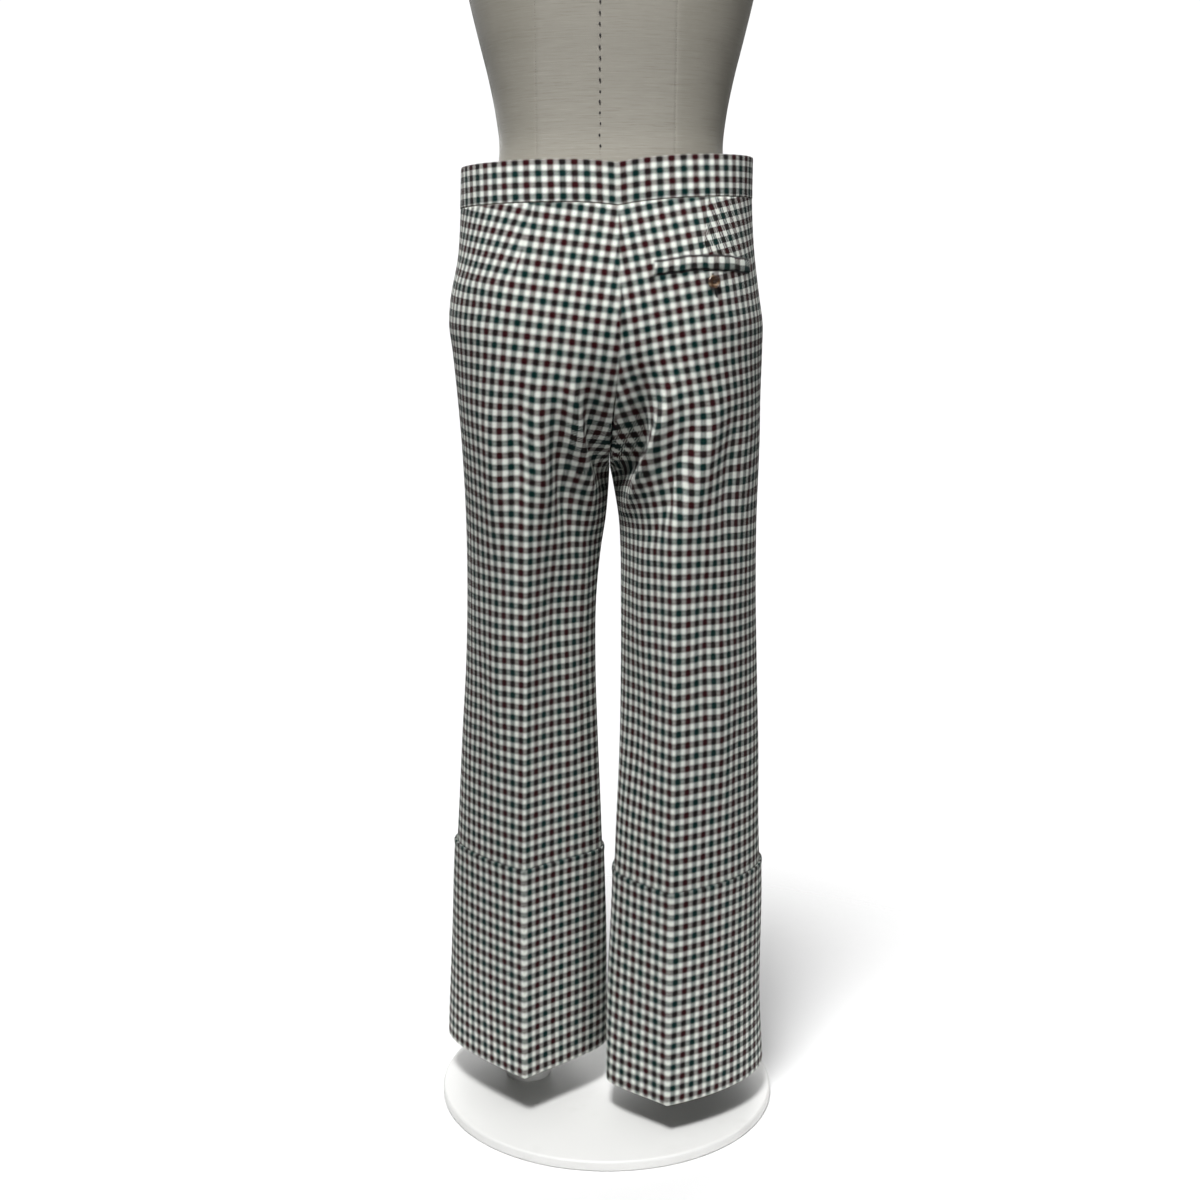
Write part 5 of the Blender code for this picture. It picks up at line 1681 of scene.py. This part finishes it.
    def build_button(self, wardrobe: Wardrobe) -> bpy.types.Object:
        """Make the turned horn button with its rim, dish and four holes."""
        rings, spokes = 34, 96
        radius, thick = self.button_radius, self.button_thickness
        profile = [(r, self.top_height(r)) for r in np.linspace(0, radius * 0.93, rings)]
        profile += [(radius * r, thick * z) for r, z in self.button_side]
        rows = []
        for r, z in profile:
            turn = np.linspace(0, 2 * math.pi, spokes, endpoint=False)
            x, y = r * np.cos(turn), r * np.sin(turn)
            height = np.full(spokes, z)
            if z > thick * 0.5:
                for sx in (-1, 1):
                    for sy in (-1, 1):
                        away = np.hypot(x - sx * self.hole_reach, y - sy * self.hole_reach)
                        inside = (self.hole_radius * 1.25 - away) / (self.hole_radius * 0.5)
                        height -= thick * self.hole_depth * ease(inside)
            rows.append(np.column_stack((x, y, height)))
        button = grid_object("pocket_button_horn", np.array(rows), None, wardrobe.horn, round_columns=True,
                             flip=True)
        button.data.transform(self.seat())
        clean(button)
        put_on(button, Slot.BUTTON, "pocket_button")
        return button

    def top_height(self, r: float) -> float:
        """The button's top at a distance from its middle: a dish inside a rounded rim."""
        share = r / self.button_radius
        dish = self.dish_height + 0.05 * share**2
        rim = self.rim_rise * math.exp(-(((share - self.rim_place) / self.rim_width) ** 2))
        return self.button_thickness * min(dish + rim, 1.0)

    def sew(self, wardrobe: Wardrobe) -> list[bpy.types.Object]:
        """Sew the button on, and edge its buttonhole and the pocket's ends."""
        t = np.linspace(0, 1, 40)
        x = self.slot_top[0] + (self.slot_foot[0] - self.slot_top[0]) * t
        z = self.slot_top[1] + (self.slot_foot[1] - self.slot_top[1]) * t
        slot_path = self.on_back(z, x, self.slot_stand)
        hole = StitchRow("buttonhole", 0.0032, 0.00055, 0.0011, 0.0005)
        seat = self.seat()
        threads = []
        reach = self.hole_reach
        top = self.button_thickness * self.thread_top
        for side in (-1, 1):
            for ply in (-0.0002, 0.0002):
                path = np.array([(side * reach + ply, reach * u, top + 0.0007 * (1 - u * u)) for u in
                                 np.linspace(-1, 1, 12)])
                placed = np.array([seat @ Vector(point) for point in path])
                outward = np.array([(seat.to_3x3() @ Vector((0, 0, 1)))[:]] * len(path))
                threads.append((placed, outward))
        sewn = StitchRow("button_thread", 0.0006, 0.0004, 0.0004, 0.0003)
        tacks = []
        for x_end in (self.start_x - 0.0004, self.end_x + 0.0004):
            z = self.base + np.linspace(-self.tack_past, self.height + self.tack_past, 24)
            tacks.append(self.on_back(z, np.full(len(z), x_end), self.tack_stand))
        ends = StitchRow("pocket_tacks", 0.0018, 0.00045, 0.0006, 0.00055)
        yarn = wardrobe.dark_yarn
        return [hole.sew([slot_path], yarn, Slot.CLOTH, True, 0.00015), sewn.sew(threads, yarn, Slot.CLOTH),
                ends.sew(tacks, yarn, Slot.CLOTH, True, 0.0001)]


def clean(thing: bpy.types.Object) -> None:
    """Merge a turned mesh's poles and point its faces outward."""
    shape = bmesh.new()
    shape.from_mesh(thing.data)
    bmesh.ops.remove_doubles(shape, verts=shape.verts[:], dist=0.00001)
    bmesh.ops.recalc_face_normals(shape, faces=shape.faces[:])
    shape.to_mesh(thing.data)
    shape.free()


def mount(name: str, mesh: bpy.types.Mesh, slot: Slot) -> bpy.types.Object:
    """Put a finished mesh in the scene and on the frame.

    Args:
        name: The piece's name.
        mesh: Its mesh.
        slot: Not used.

    Returns:
        The piece.
    """
    piece = in_scene(name, mesh)
    put_on(piece, slot)
    return piece


@dataclass
class Fly:
    """The fly's outer layer on the left front, with its curved row of stitches."""

    shape: TrouserShape
    width: float = 0.034
    length: float = 0.165
    wall: float = 0.0012
    stand: float = 0.0007
    rows: int = 60
    columns: int = 16
    foot_start: float = 0.72

    def outline(self, t: np.ndarray) -> tuple[np.ndarray, np.ndarray, np.ndarray]:
        """Heights, centre line and width of the fly, from its top to its foot."""
        z = BAND_SEAM - 0.002 - self.length * t
        foot = np.maximum((t - self.foot_start) / (1 - self.foot_start), 0.0)
        width = self.width * np.sqrt(np.maximum(1 - foot**2, 0.0)) + 0.004
        return z, self.shape.centres[Face.FRONT].at(z)[:, 0] + 0.0015, width

    def build(self, wardrobe: Wardrobe) -> bpy.types.Object:
        """Make the fly's cloth.

        Args:
            wardrobe: The finishes.

        Returns:
            The piece.
        """
        t = np.sin(np.linspace(0, 1, self.rows + 1) * math.pi / 2)
        z, centre, width = self.outline(t)
        share = np.linspace(0, 1, self.columns + 1)
        x = centre[:, None] + width[:, None] * share
        rows = [over_panel(self.shape, Side.LEFT, Face.FRONT, np.full(len(share), height), line,
                           self.stand + self.wall)[0] for height, line in zip(z, x)]
        cut = np.stack((x, np.broadcast_to(z[:, None], x.shape)), axis=-1)
        corners = corner_cut(cut[:-1], cut[1:])
        cloth = grid_object("fly_placket_cloth", np.array(rows), corners, wardrobe.twill, flip=True)
        give_wall(cloth, self.wall)
        soft = cloth.modifiers.new("Edge", "BEVEL")
        soft.width = 0.0005
        soft.segments = 2
        soft.limit_method = "ANGLE"
        declare_cloth(cloth, "fly_placket", corners)
        return cloth

    def sew(self, wardrobe: Wardrobe) -> bpy.types.Object:
        """Sew the curved row that closes the fly's edge."""
        t = np.sin(np.linspace(0, 1, 120) * math.pi / 2)
        z, centre, width = self.outline(t)
        inset = 0.0045
        x = centre + np.maximum(width - inset, 0.001)
        z = np.maximum(z, z[-1] + inset)
        path = over_panel(self.shape, Side.LEFT, Face.FRONT, z, x, self.stand + self.wall + 0.0001)
        row = StitchRow("fly_stitches", 0.0024, 0.0005, 0.0005, 0.0033)
        return row.sew([path], wardrobe.dark_yarn, Slot.CLOTH)


@dataclass
class DressForm:
    """The limbless torso in linen, with its upright seams and the hand stitches down the centre back."""

    segments: int = 232
    rows: int = 260
    fullness: float = 0.88
    centre_back_x: float = 0.008
    straight_below: float = 0.8
    princess_back: tuple[float, float] = (0.0748, -0.0706)
    princess_front: float = 0.076
    groove_depth: float = 0.0005
    groove_width: float = 0.0014
    edge_steps: tuple = (-0.016, -0.007, 0.0, 0.007, 0.016)
    edge_clear: float = 0.022
    waist: float = 1.1
    spread: float = 0.3
    spread_start: float = 1.19
    spread_length: float = 0.21
    seam_limit: float = 0.8
    puckers: tuple = ((0.5, 0.011), (0.3, 0.0047))
    low_start: float = 0.797
    low_rows: int = 14
    plate_shares: tuple = (0.97, 0.7, 0.35, 0.0)
    sole_drop: float = 0.0004
    track: Track = field(default_factory=lambda: Track(FORM_RINGS))

    def ring(self, z: float) -> tuple[float, float, float, float]:
        """Half width, front, back and centre of the form at one height, smooth between its sections."""
        heights = np.array([ring.z for ring in FORM_RINGS])
        smooth = self.track.at(np.array([z]))[0]
        straight = np.array([np.interp(z, heights, [ring[i] for ring in FORM_RINGS]) for i in range(1, 5)])
        return tuple(straight if z < self.straight_below else smooth)

    def seam_turns(self, z: float) -> np.ndarray:
        """The turn of every upright seam at one height, rising from the left side."""
        half, _, _, centre = self.ring(z)
        spread = 1 + self.spread * float(ease((z - self.spread_start) / self.spread_length))
        limit = self.seam_limit * half
        turns = []
        for x, back in ((self.princess_back[0] * spread, True), (self.centre_back_x, True),
                        (self.princess_back[1] * spread, True), (-self.princess_front * spread, False),
                        (0.0, False), (self.princess_front * spread, False)):
            share = np.clip(x - centre, -limit, limit) / half
            turn = math.acos(math.copysign(abs(share) ** (1 / self.fullness), share))
            turns.append(turn if back else 2 * math.pi - turn)
        return np.array(turns)

    def base_turns(self) -> tuple[np.ndarray, np.ndarray]:
        """Turns of the columns at the waist, and the seams among them."""
        seams = self.seam_turns(self.waist)
        even = np.linspace(0, 2 * math.pi, self.segments, endpoint=False)
        even = even[np.min(abs(even[:, None] - seams[None, :]), axis=1) > self.edge_clear]
        near = (seams[:, None] + np.array(self.edge_steps)[None, :]).ravel()
        return np.sort(np.concatenate((even, near))), seams

    def row(self, z: float) -> np.ndarray:
        """The points of one row."""
        base, seams = self.base_turns()
        here = self.seam_turns(z)
        knots = np.concatenate(([0.0], seams, [2 * math.pi]))
        turns = np.interp(base, knots, np.concatenate(([0.0], here, [2 * math.pi])))
        half, front, back, centre = self.ring(z)
        across = np.sign(np.cos(turns)) * abs(np.cos(turns)) ** self.fullness
        along = np.sign(np.sin(turns)) * abs(np.sin(turns)) ** self.fullness
        x, y = centre + half * across, np.where(along >= 0, back, -front) * along
        gap = np.min(abs(turns[:, None] - here[None, :]), axis=1) * half
        pucker = 1 + sum(size * math.sin(z * 2 * math.pi / pitch) for size, pitch in self.puckers)
        sunk = 1 - self.groove_depth * np.exp(-((gap / self.groove_width) ** 2)) * pucker / max(half, 0.05)
        return np.column_stack((centre + (x - centre) * sunk, y * sunk, np.full(len(x), HEM_HEIGHT + z)))

    @staticmethod
    def plate(rim: np.ndarray, shares: tuple[float, ...]) -> np.ndarray:
        """Level rings inside a rim, at shares of its width, that close it."""
        middle = rim.mean(axis=0)
        return np.array([middle + (rim - middle) * share for share in shares])

    def build(self, wardrobe: Wardrobe) -> bpy.types.Object:
        """Make the torso.

        Args:
            wardrobe: The finishes.

        Returns:
            The piece.
        """
        low, high = FORM_RINGS[0].z, FORM_RINGS[-1].z
        heights = np.concatenate((np.linspace(high, self.straight_below, self.rows),
                                  np.linspace(self.low_start, low, self.low_rows)))
        points = np.array([self.row(z) for z in heights])
        sole = self.plate(points[-1], self.plate_shares)
        sole[0][:, 2] -= self.sole_drop
        crown = self.plate(points[0], self.plate_shares[::-1])
        torso = grid_object("dress_form", np.concatenate((crown, points, sole)), None, wardrobe.linen,
                            round_columns=True, flip=True)
        clean(torso)
        put_on(torso, Slot.COVER, "form_torso")
        return torso

    def seam_path(self, index: int, low: float, high: float, steps: int, out: float) -> tuple:
        """Points up one seam of the form, with the outward direction at each."""
        points = []
        for z in np.linspace(low, high, steps):
            half, front, back, centre = self.ring(z)
            turn = self.seam_turns(z)[index]
            across = math.copysign(abs(math.cos(turn)) ** self.fullness, math.cos(turn))
            along = math.copysign(abs(math.sin(turn)) ** self.fullness, math.sin(turn))
            depth = back if along >= 0 else -front
            points.append((centre + half * across, depth * along, HEM_HEIGHT + z))
        points = np.array(points)
        outward = points * np.array((1.0, 1.8, 0.0))
        outward /= np.linalg.norm(outward, axis=1)[:, None]
        return points + outward * out, outward

    def sew(self, wardrobe: Wardrobe) -> list[bpy.types.Object]:
        """Sew the hand stitches down the centre back and the fine rows beside the other seams."""
        centre = self.seam_path(1, 1.03, 1.44, 200, -0.0001)
        beside = [self.seam_path(i, 1.0, 1.43, 200, -0.0004) for i in (0, 1, 2, 3, 5)]
        coarse = StitchRow("form_hand_stitches", 0.0034, 0.0022, 0.0012, 0.0105, 5)
        fine = StitchRow("form_seam_stitches", 0.0012, 0.0005, 0.0004, 0.0026, 7)
        return [coarse.sew([centre], wardrobe.dark_yarn, Slot.COVER, False, 0.0011),
                fine.sew(beside, wardrobe.grey_yarn, Slot.COVER, False, 0.0003)]


@dataclass
class Stand:
    """The white base, collar, pole and flange under the torso, and the wooden cap on its neck."""

    base_radius: float = 0.197
    base_thickness: float = 0.012
    pole_x: float = 0.095
    pole_y: float = -0.008
    pole_radius: float = 0.0125
    collar_radius: float = 0.027
    collar_height: float = 0.03
    flange_radius: float = 0.034
    flange_thickness: float = 0.006
    form_bottom: float = 0.76
    cap_radius: float = 0.05
    cap_height: float = 0.014
    spokes: int = 128

    def turned(self, name: str, profile: list[tuple[float, float]], place: tuple[float, float, float],
               material: bpy.types.Material, slot: Slot) -> bpy.types.Object:
        """Turn a profile round an upright axis and put it in place of its CAD node.

        Args:
            name: The CAD node's name.
            profile: Radius and height of each point, from the foot to the top.
            place: Where the axis stands.
            material: The finish.
            slot: Not used.

        Returns:
            The piece.
        """
        turn = np.linspace(0, 2 * math.pi, self.spokes, endpoint=False)
        rows = [np.column_stack((place[0] + r * np.cos(turn), place[1] + r * np.sin(turn),
                                 np.full(self.spokes, place[2] + z))) for r, z in profile]
        piece = grid_object(f"{name}_turned", np.array(rows), None, material, round_columns=True)
        clean(piece)
        put_on(piece, slot, name)
        return piece

    @staticmethod
    def disc(radius: float, height: float, edge: float, steps: int = 6) -> list[tuple[float, float]]:
        """The profile of a plate with rounded edges, closed at its axis."""
        turns = np.linspace(0, math.pi / 2, steps + 1)
        low = [(radius - edge + edge * math.sin(a), edge - edge * math.cos(a)) for a in turns]
        high = [(radius - edge + edge * math.cos(a), height - edge + edge * math.sin(a)) for a in turns]
        return [(0.0, 0.0), (radius * 0.5, 0.0)] + low + high + [(radius * 0.5, height), (0.0, height)]

    def build(self, wardrobe: Wardrobe) -> list[bpy.types.Object]:
        """Make every turned piece."""
        start = self.base_thickness + SEAM_GAP
        under = HEM_HEIGHT + self.form_bottom
        flange = under - SEAM_GAP - self.flange_thickness
        pole = (self.pole_x, self.pole_y)
        inner, outer, tall = self.pole_radius + SEAM_GAP, self.collar_radius, self.collar_height
        collar = [(inner, 0.0), (outer - 0.001, 0.0), (outer, 0.001), (outer, tall * 0.33),
                  (outer - 0.0012, tall * 0.4), (outer - 0.0055, tall * 0.54), (inner + 0.0058, tall * 0.8),
                  (inner + 0.0045, tall * 0.95), (inner + 0.003, tall), (inner, tall), (inner, 0.0)]
        rim = HEM_HEIGHT + FORM_RINGS[-1].z + SEAM_GAP
        return [
            self.turned("stand_base", self.disc(self.base_radius, self.base_thickness, 0.003), (0, 0, 0),
                        wardrobe.paint, Slot.STAND),
            self.turned("stand_pole", self.disc(self.pole_radius, flange - SEAM_GAP - start, 0.0006, 3),
                        (*pole, start), wardrobe.paint, Slot.STAND),
            self.turned("stand_collar", collar, (*pole, start), wardrobe.paint, Slot.STAND),
            self.turned("stand_flange", self.disc(self.flange_radius, self.flange_thickness, 0.001, 4),
                        (*pole, flange), wardrobe.paint, Slot.STAND),
            self.turned("form_neck_cap", self.disc(self.cap_radius, self.cap_height, 0.004),
                        (FORM_RINGS[-1].centre_x, 0.002, rim), wardrobe.wood, Slot.CAP),
        ]


class Softbox(NamedTuple):
    """A square soft light: where it hangs, what it faces, its side in metres and its power in watts."""

    name: str
    place: tuple[float, float, float]
    target: tuple[float, float, float]
    size: float
    power: float


SOFTBOXES = table(
    Softbox,
    ("key", (0.42, 1.45, 3.3), (0.0, 0.05, 0.9), 0.7, 106.0),
    ("fill", (-1.6, 1.8, 0.5), (0.0, 0.0, 0.3), 1.0, 8.0),
    ("overhead", (0.0, 0.0, 3.4), (0.0, 0.0, 0.0), 3.2, 26.0),
    ("front", (0.0, -2.5, 1.9), (0.0, 0.0, 0.8), 3.0, 48.0),
)


@dataclass
class Studio:
    """The white floor, soft lights and the camera."""

    camera_place: tuple[float, float, float] = (0.008, 1.7, 0.891)
    pitch: float = 10.0
    lens: float = 45.12
    rise: float = 0.0042
    floor_radius: float = 1.1
    floor_solid: float = 0.28
    floor_clear: float = 0.95
    floor_sides: int = 96
    floor_roughness: float = 0.9
    seen_backdrop: float = 1.05
    soft_backdrop: float = 0.09

    def camera(self) -> None:
        """Place the camera behind the trousers, looking a little down."""
        view = bpy.data.cameras.new("camera")
        view.lens = self.lens
        view.sensor_width = 36.0
        view.shift_y = self.rise
        view.clip_start = 0.05
        camera = in_scene("camera", view)
        camera.location = self.camera_place
        camera.rotation_euler = (math.radians(90 - self.pitch), 0.0, math.pi)
        bpy.context.scene.camera = camera

    @staticmethod
    def hang(softbox: Softbox) -> None:
        """Hang a square soft light so that it faces its target."""
        lamp = bpy.data.lights.new(softbox.name, "AREA")
        lamp.shape = "SQUARE"
        lamp.size = softbox.size
        lamp.energy = softbox.power
        light = in_scene(softbox.name, lamp)
        light.location = softbox.place
        aim = Vector(softbox.target) - Vector(softbox.place)
        light.rotation_euler = aim.to_track_quat("-Z", "Y").to_euler()

    def surround(self) -> None:
        """A white backdrop with a plain, softer light of its own."""
        world = bpy.data.worlds.new("studio")
        world.use_nodes = True
        tree = world.node_tree
        tree.nodes.clear()
        seen, soft = tree.nodes.new("ShaderNodeBackground"), tree.nodes.new("ShaderNodeBackground")
        for shader, strength in ((seen, self.seen_backdrop), (soft, self.soft_backdrop)):
            shader.inputs["Color"].default_value = (1.0, 1.0, 1.0, 1.0)
            shader.inputs["Strength"].default_value = strength
        path, both = tree.nodes.new("ShaderNodeLightPath"), tree.nodes.new("ShaderNodeMixShader")
        output = tree.nodes.new("ShaderNodeOutputWorld")
        tree.links.new(path.outputs["Is Camera Ray"], both.inputs[0])
        tree.links.new(soft.outputs[0], both.inputs[1])
        tree.links.new(seen.outputs[0], both.inputs[2])
        tree.links.new(both.outputs[0], output.inputs["Surface"])
        bpy.context.scene.world = world
        bpy.context.scene.view_settings.view_transform = "Standard"

    def floor(self) -> None:
        """Lay the white floor, which thins out toward its rim."""
        bench = Bench("white_floor")
        place = bench.object_place()
        cloud = bench.noise(place, 1.5, 2.0)
        away = bench.add("ShaderNodeVectorMath", operation="LENGTH")
        bench.feed(away.inputs[0], place)
        white = bench.mix(cloud, (0.93, 0.93, 0.93, 1.0), (0.95, 0.95, 0.95, 1.0))
        material = bench.finish(white, self.floor_roughness, Specular_IOR_Level=0.1)
        surface = next(node for node in material.node_tree.nodes if node.type == "BSDF_PRINCIPLED")
        solid = bench.ramp(away.outputs["Value"], self.floor_solid, self.floor_clear, 1.0, 0.0)
        bench.feed(surface.inputs["Alpha"], solid)
        turn = np.linspace(0, 2 * math.pi, self.floor_sides, endpoint=False)
        rim = self.floor_radius * np.column_stack((np.cos(turn), np.sin(turn), np.zeros(self.floor_sides)))
        mesh = bpy.data.meshes.new("floor")
        mesh.from_pydata(rim.tolist(), [], [tuple(range(self.floor_sides))])
        mesh.materials.append(material)
        floor = in_scene("floor", mesh)

    def build(self) -> None:
        """Set up the whole studio."""
        self.camera()
        self.surround()
        self.floor()
        for softbox in SOFTBOXES:
            self.hang(softbox)


def main() -> None:
    """Build every sub-assembly in order and report it."""
    logging.basicConfig(level=logging.INFO, format="%(name)s: %(message)s")
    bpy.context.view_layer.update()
    Studio().build()
    shape = TrouserShape()
    wardrobe = Wardrobe()
    form = DressForm()
    pieces = [form.build(wardrobe)]
    for side in Side:
        pieces.append(Waistband(shape, side).build(wardrobe))
        for face in Face:
            pieces.append(Panel(shape, side, face).build(wardrobe))
        pieces.append(TurnUp(shape, side).build(wardrobe))
    pocket = BackPocket(shape)
    pieces += [pocket.build_welt(wardrobe), pocket.build_slit_shadows(wardrobe), pocket.build_button(wardrobe)]
    pieces += pocket.sew(wardrobe)
    fly = Fly(shape)
    pieces += [fly.build(wardrobe), fly.sew(wardrobe)]
    pieces += form.sew(wardrobe)
    pieces += Stand().build(wardrobe)
    for piece in pieces:
        LOG.info("built %s with %d faces", piece.name, len(piece.data.polygons))


if __name__ == "__main__":
    main()
